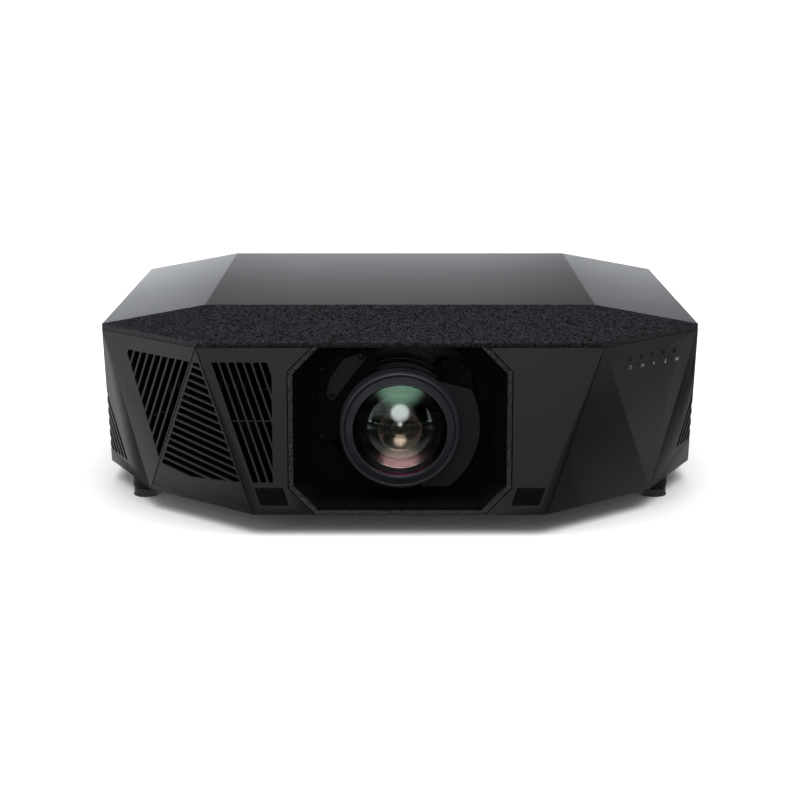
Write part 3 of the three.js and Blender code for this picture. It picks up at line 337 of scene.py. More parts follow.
def group(name, inputs, outputs, wire):
    """A shader group, made once; wire(tree, inputs) returns the sockets to put out."""
    known = bpy.data.node_groups.get(name)
    if known:
        return known
    tree = bpy.data.node_groups.new(name, "ShaderNodeTree")
    for label, default in inputs.items():
        kind = "NodeSocketColor" if isinstance(default, tuple) else "NodeSocketFloat"
        tree.interface.new_socket(label, in_out="INPUT", socket_type=kind).default_value = default
    for label, kind in outputs.items():
        tree.interface.new_socket(label, in_out="OUTPUT", socket_type=f"NodeSocket{kind}")
    start = tree.nodes.new("NodeGroupInput")
    end = tree.nodes.new("NodeGroupOutput")
    for label, socket in wire(tree, start.outputs).items():
        tree.links.new(socket, end.inputs[label])
    return tree


def placed(tree, group_tree, **values):
    """A group in a material, with its own values; underscores in names stand for spaces."""
    made = tree.nodes.new("ShaderNodeGroup")
    made.node_tree = group_tree
    for key, value in values.items():
        socket = made.inputs[key.replace("_", " ")]
        if isinstance(value, bpy.types.NodeSocket):
            tree.links.new(value, socket)
        else:
            socket.default_value = value
    return made


def combined(tree, operation, first, second):
    """Two values put through one sum."""
    return node(tree, "Math", {0: first, 1: second}, operation=operation).outputs[0]


def span(tree, value, reach, levels, ramp="LINEAR"):
    """A value carried from one range to another, held at the ends."""
    return node(tree, "MapRange", {
        "Value": value, "From Min": reach[0], "From Max": reach[1],
        "To Min": levels[0], "To Max": levels[1],
    }, interpolation_type=ramp).outputs[0]


def off_axis(tree, where, centre):
    """How far a point is from a line that runs from front to back."""
    moved = node(tree, "Mapping", {"Vector": where, "Location": -centre}).outputs[0]
    flat = node(tree, "VectorMath", {0: moved, 1: (1.0, 0.0, 1.0)}, operation="MULTIPLY")
    return node(tree, "VectorMath", {0: flat.outputs[0]}, operation="LENGTH").outputs["Value"]


def wire_powder(tree, given):
    """Beads of powder coat: raised cells of uneven size, and a tone of its own for each."""
    where = node(tree, "TexCoord").outputs["Object"]
    scale = combined(tree, "DIVIDE", 1.0, given["Bead"])
    wobble = node(tree, "TexNoise", {"Vector": where, "Scale": scale, "Detail": 2.0})
    cells = node(tree, "TexVoronoi", {"Vector": where, "Scale": scale, "Randomness": 1.0})
    dome = span(tree, cells.outputs["Distance"], (0.0, 0.75), (1.0, 0.0), "SMOOTHSTEP")
    height = combined(tree, "MULTIPLY", dome, wobble.outputs[0])
    tone = node(tree, "SeparateColor", {"Color": cells.outputs["Color"]}).outputs[0]
    blend = combined(tree, "MULTIPLY", tone, wobble.outputs[0])
    return {"Height": height, "Tone": blend}


def powder():
    return group("powder_beads", {"Bead": 0.001}, {"Height": "Float", "Tone": "Float"}, wire_powder)


def wire_handling(tree, given):
    """Slow patches where hands, wiping and dust have changed the gloss a little."""
    where = node(tree, "TexCoord").outputs["Object"]
    scale = combined(tree, "DIVIDE", 1.0, given["Patch"])
    cloud = node(tree, "TexNoise",
                 {"Vector": where, "Scale": scale, "Detail": 4.0, "Roughness": 0.6})
    return {"Gloss": span(tree, cloud.outputs[0], (0.3, 0.7), (given["Low"], given["High"]))}


def handling():
    inputs = {"Patch": 0.08, "Low": 0.4, "High": 0.5}
    return group("handling_patches", inputs, {"Gloss": "Float"}, wire_handling)


def wire_streaks(tree, given):
    """Fine lines that run round or along a machined part."""
    where = node(tree, "TexCoord").outputs["Object"]
    stretch = node(tree, "Mapping", {"Vector": where, "Scale": (900.0, 60.0, 900.0)}).outputs[0]
    lines = node(tree, "TexNoise", {"Vector": stretch, "Scale": 1.0, "Detail": 3.0}).outputs[0]
    mask = span(tree, lines, (0.35, 0.65), (given["Low"], given["High"]))
    return {"Height": lines, "Mask": mask}


def streaks():
    inputs = {"Low": 0.25, "High": 0.45}
    return group("machined_lines", inputs, {"Height": "Float", "Mask": "Float"}, wire_streaks)


def wire_tint(tree, given):
    """A colour made lighter and darker by a mask."""
    shade = span(tree, given["Mask"], (0.0, given["Span"]), (given["Dark"], given["Light"]))
    mixed = node(tree, "VectorMath", {0: given["Colour"], "Scale": shade}, operation="SCALE")
    return {"Colour": mixed.outputs[0]}


def tint():
    inputs = {"Colour": (0.5, 0.5, 0.5, 1.0), "Mask": 0.5, "Span": 1.0, "Dark": 0.8, "Light": 1.2}
    return group("tone_by_mask", inputs, {"Colour": "Color"}, wire_tint)


def wire_rings(tree, given):
    """How far a point is from the lens axis, as a share of a radius."""
    far = off_axis(tree, node(tree, "TexCoord").outputs["Object"], LENS_AXIS)
    return {"Share": combined(tree, "DIVIDE", far, given["Radius"])}


def rings():
    return group("share_of_radius", {"Radius": 0.04}, {"Share": "Float"}, wire_rings)


# ---- finishes ------------------------------------------------------------------------------


def blank(name, **plain):
    """A new material, its tree and its shader, with the shader's plain values set."""
    material = bpy.data.materials.new(name)
    material.use_nodes = True
    tree = material.node_tree
    shader = tree.nodes["Principled BSDF"]
    for key, value in plain.items():
        shader.inputs[key.replace("_", " ")].default_value = value
    return material, tree, shader


def bumped(tree, shader, height, depth, strength=1.0):
    bump = node(tree, "Bump", {"Height": height, "Distance": depth, "Strength": strength})
    tree.links.new(bump.outputs[0], shader.inputs["Normal"])


def coated(name, colour, bead, depth, light, gloss, shine=0.5):
    """Powder coat: beads that catch the light, over a nearly black ground."""
    known = bpy.data.materials.get(name)
    if known:
        return known
    material, tree, shader = blank(name, Specular_IOR_Level=shine)
    beads = placed(tree, powder(), Bead=bead)
    patches = placed(tree, handling(), Low=gloss[0], High=gloss[1])
    shade = placed(tree, tint(), Colour=(*colour, 1), Mask=beads.outputs["Tone"], Span=0.6,
                   Dark=max(0.0, 2 - light), Light=light)
    tree.links.new(shade.outputs[0], shader.inputs["Base Color"])
    tree.links.new(patches.outputs[0], shader.inputs["Roughness"])
    bumped(tree, shader, beads.outputs["Height"], depth)
    return material


def plain_moulding(name, colour, gloss, bead=0.5 * MM, depth=0.03 * MM, shine=0.35):
    """Moulded plastic or rubber with an etched surface and uneven gloss."""
    return coated(name, colour, bead, depth, 1.15, gloss, shine)


def machined(name, colour, gloss, metallic=1.0):
    """Metal with fine tool lines."""
    known = bpy.data.materials.get(name)
    if known:
        return known
    material, tree, shader = blank(name, Metallic=metallic)
    lines = placed(tree, streaks(), Low=gloss[0], High=gloss[1])
    shade = placed(tree, tint(), Colour=(*colour, 1), Mask=lines.outputs["Height"], Dark=0.85,
                   Light=1.1)
    tree.links.new(shade.outputs[0], shader.inputs["Base Color"])
    tree.links.new(lines.outputs["Mask"], shader.inputs["Roughness"])
    bumped(tree, shader, lines.outputs["Height"], 0.01 * MM)
    return material


def ringed(name, radius, stops, **plain):
    """A coated lens face whose colour changes from the axis to the rim; on the coloured dish and
    cup the ramp is partly painted reflection.
    """
    known = bpy.data.materials.get(name)
    if known:
        return known
    material, tree, shader = blank(name, **plain)
    share = placed(tree, rings(), Radius=radius).outputs[0]
    ramp = node(tree, "ValToRGB", {"Fac": share})
    band = ramp.color_ramp
    band.elements[0].position, band.elements[0].color = stops[0][0], (*stops[0][1], 1)
    band.elements[1].position, band.elements[1].color = stops[-1][0], (*stops[-1][1], 1)
    for place, colour in stops[1:-1]:
        band.elements.new(place).color = (*colour, 1)
    tree.links.new(ramp.outputs["Color"], shader.inputs["Base Color"])
    return material


def top_coat():
    looks = bpy.context.scene.projector_coats
    return coated("satin_top_coat", looks.top_colour, looks.fine_bead, 0.008 * MM, 1.2,
                  (0.29, 0.305))


def coarse_coat():
    looks = bpy.context.scene.projector_coats
    return coated("coarse_front_coat", looks.coarse_colour, looks.coarse_bead, 0.5 * MM, 4.8,
                  (0.55, 0.6), 0.35)


def panel_coat():
    looks = bpy.context.scene.projector_coats
    return coated("panel_coat", looks.panel_colour, looks.fine_bead, 0.03 * MM, 1.3, (0.5, 0.56))


def black_plastic():
    looks = bpy.context.scene.projector_coats
    return plain_moulding("etched_black_plastic", looks.plastic_colour, (0.5, 0.62), shine=0.15)


def recess_plastic():
    return plain_moulding("recess_plastic", (0.0035, 0.0035, 0.0038), (0.7, 0.8), shine=0.03)


def bay_plastic_painted_shade():
    # Painted shade: a darker, less shiny copy of the black plastic for the parts deep in the lens
    # bay.
    return plain_moulding("bay_plastic_painted_shade", (0.0015, 0.0015, 0.0017), (0.45, 0.6), shine=0.06)


def housing_plastic():
    return plain_moulding("lens_housing_plastic", (0.007, 0.007, 0.009), (0.42, 0.52), shine=0.25)


def lens_paint():
    return plain_moulding("lens_paint", (0.019, 0.02, 0.024), (0.3, 0.38), 0.35 * MM, 0.012 * MM)


def matt_black():
    return plain_moulding("matt_black_baffle", (0.001, 0.001, 0.001), (0.6, 0.75), shine=0.02)


def window_plastic():
    return plain_moulding("receiver_window", (0.002, 0.0018, 0.0018), (0.25, 0.32),
                          2 * MM, 0.004 * MM, shine=0.2)


def foot_rubber():
    return plain_moulding("foot_rubber", (0.015, 0.015, 0.016), (0.6, 0.8), 0.4 * MM)


def filter_foam():
    return plain_moulding("black_foam", (0.0012, 0.0012, 0.0013), (0.85, 0.95), 1.2 * MM,
                          0.1 * MM, shine=0.02)


def print_ink():
    return plain_moulding("print_ink", (0.34, 0.34, 0.36), (0.45, 0.6), 0.2 * MM, 0.005 * MM)


def black_screw():
    return machined("black_screw", (0.02, 0.02, 0.022), (0.25, 0.4))


def black_metal():
    return machined("blackened_metal", (0.035, 0.036, 0.04), (0.35, 0.5))


def bare_metal():
    return machined("bare_aluminium", (0.45, 0.46, 0.48), (0.28, 0.42))


def gold_contact():
    return machined("gold_contact", (0.75, 0.5, 0.18), (0.2, 0.3))


def board_resist():
    return plain_moulding("board_resist", (0.01, 0.06, 0.03), (0.3, 0.4), 1.5 * MM, 0.02 * MM)


# ---- settings ------------------------------------------------------------------------------


def colour(name, about, default):
    return bpy.props.FloatVectorProperty(
        name=name, description=about, subtype="COLOR", size=3, default=default)


def length(name, about, default, least):
    """A length setting, in millimetres."""
    return bpy.props.FloatProperty(
        name=name, description=about, unit="LENGTH", default=default * MM, min=least * MM)


class ProjectorCoats(bpy.types.PropertyGroup):
    """Colours and grain of the outside."""

    top_colour: colour("Top colour", "Satin coat of the flat top and the side slopes",
                       (0.008, 0.0083, 0.0095))
    coarse_colour: colour("Front slope colour", "Coarse coat of the front slope and lens trim",
                          (0.0078, 0.0081, 0.0092))
    panel_colour: colour("Panel colour", "Fine coat of the lower panels",
                         (0.007, 0.0072, 0.0085))
    plastic_colour: colour("Plastic colour", "Black moulded plastic", (0.003, 0.003, 0.0033))
    fine_bead: length("Fine bead", "Grain size of the panels", 0.9, 0.1)
    coarse_bead: length("Coarse bead", "Grain size of the front slope", 1.35, 0.1)


class ProjectorEdges(bpy.types.PropertyGroup):
    """Edge radii that moulding and machining leave."""

    cover: length("Top cover", "Edge radius of the top cover", 0.7, 0.05)
    panel: length("Panels", "Edge radius of the lower panels and their slots", 0.3, 0.05)
    inner: length("Inner parts", "Edge radius of the brackets, housings and boards", 0.4, 0.05)


class ProjectorLens(bpy.types.PropertyGroup):
    """Curves of the lens."""

    front_bulge: length("Front bulge", "How far the front glass bulges", 5.6, 1)
    dome_radius: length("Dome radius", "Rim radius of the second glass", 36.6, 20)
    dome_bulge: length("Dome bulge", "How far the second glass bulges", 12.4, 1)
    dish_radius: length("Dish radius", "Rim radius of the hollow coated glass", 38.4, 20)
    dish_depth: length("Dish depth", "How hollow the coated glass is", 6.8, 1)
    pupil_depth: length("Pupil depth", "How hollow the innermost glass is", 5.7, 1)
    pupil_radius: length("Pupil radius", "Rim radius of the innermost glass", 19.4, 5)


class ProjectorStage(bpy.types.PropertyGroup):
    """Floor, lights and camera."""

    floor_colour: colour("Floor", "Colour of the floor", (0.86, 0.86, 0.86))
    sun_strength: bpy.props.FloatProperty(
        name="Overhead light", description="Strength of the soft light from above", default=3.4)
    camera_pitch: bpy.props.FloatProperty(
        name="Camera pitch", description="How far the camera looks down", subtype="ANGLE",
        default=math.radians(13.43))
    camera_place: bpy.props.FloatVectorProperty(
        name="Camera place", description="Where the camera stands", subtype="TRANSLATION",
        size=3, default=(0.0, -1.741, 0.4814))
    camera_lens: bpy.props.FloatProperty(
        name="Camera lens", description="Focal length", unit="CAMERA", default=76.5)


# ---- shell ---------------------------------------------------------------------------------


def show_coarse_slopes(piece, satin, coarse):
    """Gives the faces that lean forwards the coarse coat and the rest the satin one."""
    piece.data.materials.clear()
    piece.data.materials.append(satin)
    piece.data.materials.append(coarse)
    for polygon in piece.data.polygons:
        polygon.material_index = 1 if polygon.normal.y < -0.05 else 0


class PROJECTOR_OT_top_cover(bpy.types.Operator):
    """Makes the top cover: satin top and sides, coarse front slopes, a crisp rim"""

    bl_idname = "projector.top_cover"
    bl_label = "Top cover"

    def execute(self, context):
        edges = context.scene.projector_edges

        def outer(edge):
            bends = len(edge.link_faces) == 2 and edge.calc_face_angle() > math.radians(4)
            return bends and edge.is_convex and middle_of(edge).z > RIM_LOW + 1 * MM

        cover = moulded("top_cover", edges.cover, None, 3, outer)
        show_coarse_slopes(cover, top_coat(), coarse_coat())
        return {"FINISHED"}


class PROJECTOR_OT_panels(bpy.types.Operator):
    """Makes the lower panels, their slots and the case bottom"""

    bl_idname = "projector.panels"
    bl_label = "Lower panels"

    def execute(self, context):
        edges = context.scene.projector_edges
        for name in (
            "front_left_panel", "front_right_panel", "left_side_panel", "right_side_panel",
            "right_corner_panel", "rear_left_corner_panel", "rear_right_corner_panel",
            "rear_panel", "filter_cover",
        ):
            moulded(name, edges.panel, panel_coat(), wanted=on_skin)
        moulded("bottom_case", edges.panel, black_plastic())
        return {"FINISHED"}


class PROJECTOR_OT_recess(bpy.types.Operator):
    """Makes the lens window's trim, the recess and the plate round the lens"""

    bl_idname = "projector.recess"
    bl_label = "Lens recess"

    def execute(self, context):
        edges = context.scene.projector_edges
        moulded("lens_window_trim", edges.panel, coarse_coat())
        moulded("lens_funnel", edges.inner, recess_plastic())
        moulded("lens_bay_plate", edges.inner, bay_plastic_painted_shade())
        return {"FINISHED"}


class PROJECTOR_OT_receiver_windows(bpy.types.Operator):
    """Makes the two dark windows in front of the remote-control receivers"""

    bl_idname = "projector.receiver_windows"
    bl_label = "Receiver windows"

    def execute(self, context):
        for side in ("left", "right"):
            moulded(f"{side}_ir_window", 0.3 * MM, window_plastic())
        return {"FINISHED"}


# ---- printed marks -------------------------------------------------------------------------


def add_stroke(x, y, width, height, turn=0.0):
    """In edit mode, adds a flat bar of print, in millimetres."""
    bpy.ops.mesh.primitive_plane_add(size=MM, location=(x * MM, y * MM, 0), rotation=(0, 0, turn))
    bpy.ops.transform.resize(value=(width, height, 1))


def add_ring(x, y, radius, line, vertices=28):
    """In edit mode, adds a flat ring of print, in millimetres."""
    bpy.ops.mesh.primitive_circle_add(
        vertices=vertices, radius=radius * MM, location=(x * MM, y * MM, 0), fill_type="NGON")
    bpy.ops.mesh.inset(thickness=line * MM, use_even_offset=True)
    bpy.ops.mesh.delete(type="FACE")


def add_disc(x, y, radius, vertices=20):
    bpy.ops.mesh.primitive_circle_add(
        vertices=vertices, radius=radius * MM, location=(x * MM, y * MM, 0), fill_type="NGON")


def draw_power():
    add_ring(0, -0.15, 1.7, 0.34)
    add_stroke(0, 1.35, 0.4, 1.5)


def draw_panel():
    for x, y, width, height in ((0, 1.2, 4.0, 0.3), (0, -1.2, 4.0, 0.3), (-1.9, 0, 0.3, 2.6),
                                (1.9, 0, 0.3, 2.6), (0.7, 0, 1.2, 1.3)):
        add_stroke(x, y, width, height)


def draw_glow():
    add_disc(0, 0, 1.0, 4)
    for turn in range(4):
        angle = math.pi / 4 + turn * math.pi / 2
        add_stroke(1.5 * math.cos(angle), 1.5 * math.sin(angle), 0.9, 0.28, angle)


def draw_heat():
    add_disc(0, -1.3, 0.95)
    add_stroke(0, 0.5, 0.8, 3.2)


def draw_mesh():
    for row in range(3):
        for column in range(4):
            add_stroke(-1.5 + column, -1.0 + row, 0.82, 0.82)


def draw_menu():
    for row in range(3):
        add_stroke(0, 1.1 - 1.1 * row, 3.4, 0.4)


def draw_back():
    add_stroke(0.3, 0, 2.8, 0.4)
    for sign in (-1, 1):
        add_stroke(-0.85, sign * 0.5, 1.6, 0.4, sign * math.pi / 4)


def draw_arrow():
    bpy.ops.mesh.primitive_circle_add(vertices=3, radius=1.0 * MM, fill_type="NGON")


def printed(name, draw, place, body, scale=1.0):
    """A generic mark in ink, a few hundredths of a millimetre proud of its surface."""
    pick()
    bpy.ops.mesh.primitive_plane_add(size=MM)
    piece = named(name)
    with editing(piece):
        bpy.ops.mesh.delete(type="VERT")
        draw()
        bpy.ops.mesh.select_all(action="SELECT")
        bpy.ops.transform.resize(value=(scale, scale, 1))
        bpy.ops.mesh.extrude_region_move(TRANSFORM_OT_translate={"value": (0, 0, 0.05 * MM)})
        bpy.ops.mesh.select_all(action="SELECT")
        bpy.ops.mesh.normals_make_consistent(inside=False)
    set_down(piece, place)
    return fit_to(piece, body, print_ink())


STATUS_MARKS = (draw_power, draw_panel, draw_glow, draw_heat, draw_mesh)
RIM_CORNER = Vector((98, 85, 0)) * MM  # how much of the rim's front corner is cut away
MARK_START = 37.5 * MM
MARK_PITCH = 15.4 * MM
MARK_DROP = 24.2 * MM


class PROJECTOR_OT_status_lights(bpy.types.Operator):
    """Makes the status lights on the front right corner and the generic marks under them"""

    bl_idname = "projector.status_lights"
    bl_label = "Status lights"

    def execute(self, context):
        moulded("status_light_bar", 0.2 * MM, window_plastic())
        corner = Vector((RIM_HALF.x - RIM_CORNER.x, -RIM_HALF.y, RIM_LOW))
        outwards = Vector((0.65, -0.76, 0.02))
        _, _, across, up = facet_frame("right_corner_panel", outwards)
        for i, draw in enumerate(STATUS_MARKS):
            point = corner + across * (MARK_START + MARK_PITCH * i) - up * MARK_DROP
            place = flat_frame(point, across, up)
            printed(f"status_mark_{i + 1}", draw, place, "case")
        return {"FINISHED"}


# ---- screws --------------------------------------------------------------------------------


def make_screw(head=2.6, socket=1.15, height=1.2):
    """A button-head screw with a hexagonal socket, standing on the XY plane, in millimetres."""
    pick()
    bpy.ops.mesh.primitive_circle_add(vertices=24, radius=head * MM, fill_type="NOTHING")
    piece = named("screw_pattern")
    with editing(piece):
        for step, shrink in ((0.45, 1.0), (0.35, 0.9), (0.2, 0.78)):
            move = {"value": (0, 0, step * height * MM)}
            bpy.ops.mesh.extrude_edges_move(TRANSFORM_OT_translate=move)
            bpy.ops.transform.resize(value=(shrink, shrink, 1))
        top = height * MM
        bpy.ops.mesh.primitive_circle_add(
            vertices=6, radius=socket * MM, location=(0, 0, top), fill_type="NOTHING")
        choose(piece, "EDGE", lambda e: middle_of(e).z > 0.99 * top)
        bpy.ops.mesh.bridge_edge_loops()
        choose(piece, "EDGE", lambda e: middle_of(e).z > 0.99 * top and
               middle_of(e).xy.length < 1.05 * socket * MM and
               e.calc_length() > 0.9 * socket * MM)
        bpy.ops.mesh.extrude_edges_move(TRANSFORM_OT_translate={"value": (0, 0, -0.8 * top)})
        bpy.ops.mesh.edge_face_add()
        choose(piece, "EDGE", lambda e: middle_of(e).z < 0.01 * top)
        bpy.ops.mesh.edge_face_add()
        bpy.ops.mesh.select_all(action="SELECT")
        bpy.ops.mesh.remove_doubles(threshold=0.001 * MM)
        bpy.ops.mesh.normals_make_consistent(inside=False)
    smooth(piece, math.radians(40))
    return piece


def screws(prefix, body, places, material=None, **shape):
    """A set of like screws on one body."""
    names = [f"{prefix}_{i + 1}" for i in range(len(places))]
    for screw in copies(make_screw(**shape), names, places):
        fit_to(screw, body, material or black_screw())


# ---- lens ----------------------------------------------------------------------------------


class PROJECTOR_OT_lens_bezel(bpy.types.Operator):
    """Turns the lens's front bezel with its index pin, and finishes the barrel behind it"""

    bl_idname = "projector.lens_bezel"
    bl_label = "Lens bezel and barrel"

    def execute(self, context):
        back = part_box("lens_bezel")[1].y
        seat = GLASS_RADIUS + 0.1 * MM
        rim = LENS_RADIUS

        def at(radius, depth):
            return (radius, LENS_FRONT + depth * MM)

        bezel = spun("lens_bezel_finish", [
            (seat, back), (rim, back), at(rim, 8.8), at(rim - 0.5 * MM, 6.9),
            at(rim - 1.6 * MM, 5.5), at(rim - 3.2 * MM, 4.9), at(rim - 4.0 * MM, 5.3),
            at(rim - 4.4 * MM, 7.2), at(rim - 5.0 * MM, 7.2), at(rim - 5.3 * MM, 5.8),
            at(seat + 1.0 * MM, 1.4), at(seat + 0.3 * MM, 1.4), at(seat, 2.2),
        ], steps=ROUND_STEPS)
        round_edges(bezel, 0.25 * MM, 2, math.radians(18))
        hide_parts("lens_bezel")
        fit_to(bezel, "lens", lens_paint())

        pin_radius = 45.5 * MM
        spot = Vector((0, LENS_FRONT + 3.3 * MM, LENS_AXIS.z - pin_radius))
        screws("bezel_pin", "lens", [flat_frame(spot, *FORWARD)], matt_black(), head=0.7,
               socket=0.3, height=0.5)

        moulded("lens_barrel", 0.3 * MM, lens_paint())
        collar = LENS_RADIUS + 0.45 * MM
        inside = collar - 3 * MM
        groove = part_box("lens_barrel")[0].y + 2 * MM
        front, end = groove - 0.1 * MM, groove + 7 * MM
        band = spun("lens_collar", [
            (inside, front), (collar, front), (collar, end), (inside, end),
        ], steps=ROUND_STEPS)
        round_edges(band, 0.3 * MM, 3)
        fit_to(band, "lens", lens_paint())
        return {"FINISHED"}


class PROJECTOR_OT_lens_glass(bpy.types.Operator):
    """Grinds the glasses: a clear front one, a hollow coated one behind it and the pupil"""

    bl_idname = "projector.lens_glass"
    bl_label = "Lens glasses"

    def execute(self, context):
        lens = context.scene.projector_lens
        wall = 1.2 * MM
        edge = LENS_FRONT + 5.6 * MM
        seat_end = LENS_FRONT + 24 * MM
        radius = GLASS_RADIUS
        glass = shell("front_glass", radius, edge, lens.front_bulge, wall)
        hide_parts("front_lens_element")
        fit_to(glass, "lens", front_glass())

        dome_edge = LENS_FRONT + 14.6 * MM
        dome = shell("second_glass", lens.dome_radius, dome_edge, lens.dome_bulge, wall)
        fit_to(dome, "lens", second_glass())

        rim = lens.dish_radius
        dish_edge = LENS_FRONT + 17 * MM
        hollow = arc(rim, dish_edge, -lens.dish_depth, 20)
        behind = dish_edge + lens.dish_depth + 2 * MM
        dish = spun("coated_dish", hollow + [(rim, behind), (0, behind)], steps=ROUND_STEPS)
        fit_to(dish, "lens", rose_coat_painted_reflection())

        pupil = lens.pupil_radius
        pupil_edge = LENS_FRONT + 7.4 * MM
        wall_foot = dish_edge + lens.dish_depth - 0.6 * MM
        lip = pupil + 0.8 * MM
        cup = spun("pupil_cup", arc(pupil, pupil_edge, -lens.pupil_depth, 16) + [
            (pupil + 0.2 * MM, pupil_edge - 0.3 * MM), (pupil + 0.6 * MM, pupil_edge - 0.3 * MM),
            (lip, pupil_edge + 0.1 * MM),
        ] + arc(lip, pupil_edge + wall, -lens.pupil_depth, 16)[::-1], steps=112)
        fit_to(cup, "lens", warm_coat_painted_reflection())
        sleeve = spun("pupil_sleeve", [
            (pupil - 1.2 * MM, pupil_edge + 1.6 * MM), (pupil + 0.7 * MM, pupil_edge + 1.3 * MM),
            (pupil + 0.7 * MM, wall_foot), (pupil - 1.2 * MM, wall_foot),
        ], steps=112)
        fit_to(sleeve, "lens", matt_black())
        bead_edge = pupil_edge + lens.pupil_depth - 0.9 * MM
        bead = shell("pupil_bead", 8.6 * MM, bead_edge, 2.5 * MM, 0.6 * MM, 12, 64)
        fit_to(bead, "lens", second_glass())

        seat = edge + wall + 0.3 * MM
        ring = spun("glass_retainer", [
            (rim, seat_end), (rim, dish_edge), (radius - 0.2 * MM, seat),
            (radius + 0.1 * MM, seat), (radius + 0.1 * MM, seat_end),
        ], steps=ROUND_STEPS)
        fit_to(ring, "lens", magenta_painted_reflection())
        for piece in (glass, dome, dish, cup, bead, sleeve, ring):
            smooth(piece, math.radians(35))

        moulded("rear_lens_element", 0, front_glass())
        return {"FINISHED"}


def front_glass():
    clear = ((0.0, (1.0, 1.0, 1.0)), (0.8, (0.95, 1.0, 0.96)), (1.0, (0.8, 0.92, 0.85)))
    return ringed("front_glass", GLASS_RADIUS, clear, Roughness=0.0, IOR=1.5,
                  Transmission_Weight=1.0, Specular_IOR_Level=0.5,
                  Specular_Tint=(0.34, 0.6, 0.42, 1.0))


def second_glass():
    clear = ((0.0, (1.0, 1.0, 0.96)), (1.0, (0.85, 0.95, 0.85)))
    return ringed("second_glass", GLASS_RADIUS, clear, Roughness=0.03, IOR=1.75,
                  Transmission_Weight=1.0, Specular_IOR_Level=0.95,
                  Specular_Tint=(0.95, 1.0, 0.96, 1.0))


def rose_coat_painted_reflection():
    # Painted reflection: the ramp lightens the dish towards its rim, on top of the coat's own rose
    # colour.
    rose = ((0.5, (0.035, 0.028, 0.022)), (0.62, (0.07, 0.045, 0.04)), (0.8, (0.11, 0.055, 0.06)),
            (0.94, (0.16, 0.08, 0.09)), (1.0, (0.2, 0.12, 0.13)))
    return ringed("rose_coat_painted_reflection", bpy.context.scene.projector_lens.dish_radius, rose,
                  Metallic=1.0, Roughness=0.12)


def warm_coat_painted_reflection():
    # Painted reflection: the ramp lightens the cup towards its rim, on top of the coat's own warm
    # colour.
    warm = ((0.0, (0.14, 0.11, 0.07)), (0.6, (0.22, 0.165, 0.13)), (1.0, (0.24, 0.16, 0.14)))
    return ringed("warm_coat_painted_reflection", bpy.context.scene.projector_lens.pupil_radius, warm,
                  Metallic=1.0, Roughness=0.16)


def magenta_painted_reflection():
    """Painted reflection: magenta is painted only along the seat's lower edge, where the coating
    would catch light from above; the rest of the seat is painted dark.
    """
    material, tree, shader = blank("magenta_edge_painted_reflection", Metallic=1.0, Roughness=0.35)
    place = node(tree, "SeparateXYZ", {0: node(tree, "TexCoord").outputs["Object"]})
    reach = (LENS_AXIS.z - 0.95 * GLASS_RADIUS, LENS_AXIS.z - 0.45 * GLASS_RADIUS)
    # Mask of the painted reflection: full at the seat's lower edge, fading out halfway up.
    low = span(tree, place.outputs["Z"], reach, (1.0, 0.0))
    shade = placed(tree, tint(), Colour=(0.36, 0.06, 0.16, 1), Mask=low, Dark=0.015, Light=1.0)
    tree.links.new(shade.outputs[0], shader.inputs["Base Color"])
    return material


class PROJECTOR_OT_lens_mount(bpy.types.Operator):
    """Makes the lens's motor housing, its two stacked brackets and their screws"""

    bl_idname = "projector.lens_mount"
    bl_label = "Lens mount"

    def execute(self, context):
        inner = context.scene.projector_edges.inner
        moulded("lens_motor_housing", inner, housing_plastic())
        moulded("lens_bracket", inner, housing_plastic())
        moulded("lens_bracket_base", inner, bay_plastic_painted_shade())
        self.guard_pinion(inner)
        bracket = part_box("lens_bracket")[0].y
        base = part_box("lens_bracket_base")[0].y
        spots = ((-35.8, 157.8, bracket), (-62.6, 122.6, bracket),
                 (-71.9, 144.9, base), (-72.6, 80.4, base))
        places = [flat_frame(Vector((x * MM, y, z * MM)), *FORWARD) for x, z, y in spots]
        screws("lens_bracket_screw", "lens", places)
        return {"FINISHED"}

    def guard_pinion(self, radius):
        """A folded plate in front of the focus pinion, held by one screw."""
        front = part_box("focus_pinion")[0].y - 1 * MM
        middle = Vector((50 * MM, front - 1.2 * MM, 148 * MM))
        size = Vector((22.8, 1.6, 14.2)) * MM
        plate = block("pinion_guard", middle, size)

        def corner(sign):
            return lambda e: (sign * (middle_of(e).x - middle.x) > 0.48 * size.x
                              and sign * (middle_of(e).z - middle.z) > 0.48 * size.z)

        with editing(plate):
            choose(plate, "EDGE", corner(1))
            bpy.ops.mesh.bevel(offset=6 * MM, segments=1)
            choose(plate, "EDGE", corner(-1))
            bpy.ops.mesh.bevel(offset=5 * MM, segments=1)
            choose(plate, "FACE", lambda f: f.normal.x < -0.9)
            bpy.ops.mesh.extrude_region_move(TRANSFORM_OT_translate={"value": (-3 * MM, 0, 0)})
            bpy.ops.transform.translate(value=(0, 2.4 * MM, 0))
        round_edges(plate, radius)
        fit_to(plate, "lens", bay_plastic_painted_shade())
        spot = flat_frame(Vector((57 * MM, front - 2 * MM, 147.5 * MM)), *FORWARD)
        screws("pinion_guard_screw", "lens", [spot], head=1.7, socket=0.8)


class PROJECTOR_OT_lens_drive(bpy.types.Operator):
    """Makes the focus and zoom rings, their pinions and the lens-shift carriages"""

    bl_idname = "projector.lens_drive"
    bl_label = "Lens drive"

    def execute(self, context):
        for ring in ("focus_ring", "zoom_ring"):
            moulded(ring, 0.3 * MM, lens_paint())
        for pinion in ("focus_pinion", "zoom_pinion"):
            moulded(pinion, 0.2 * MM, bay_plastic_painted_shade())
        for plate in ("horizontal_carriage", "vertical_carriage", "shift_base_frame"):
            moulded(plate, 0.4 * MM, black_metal())
        return {"FINISHED"}


# ---- feet ----------------------------------------------------------------------------------


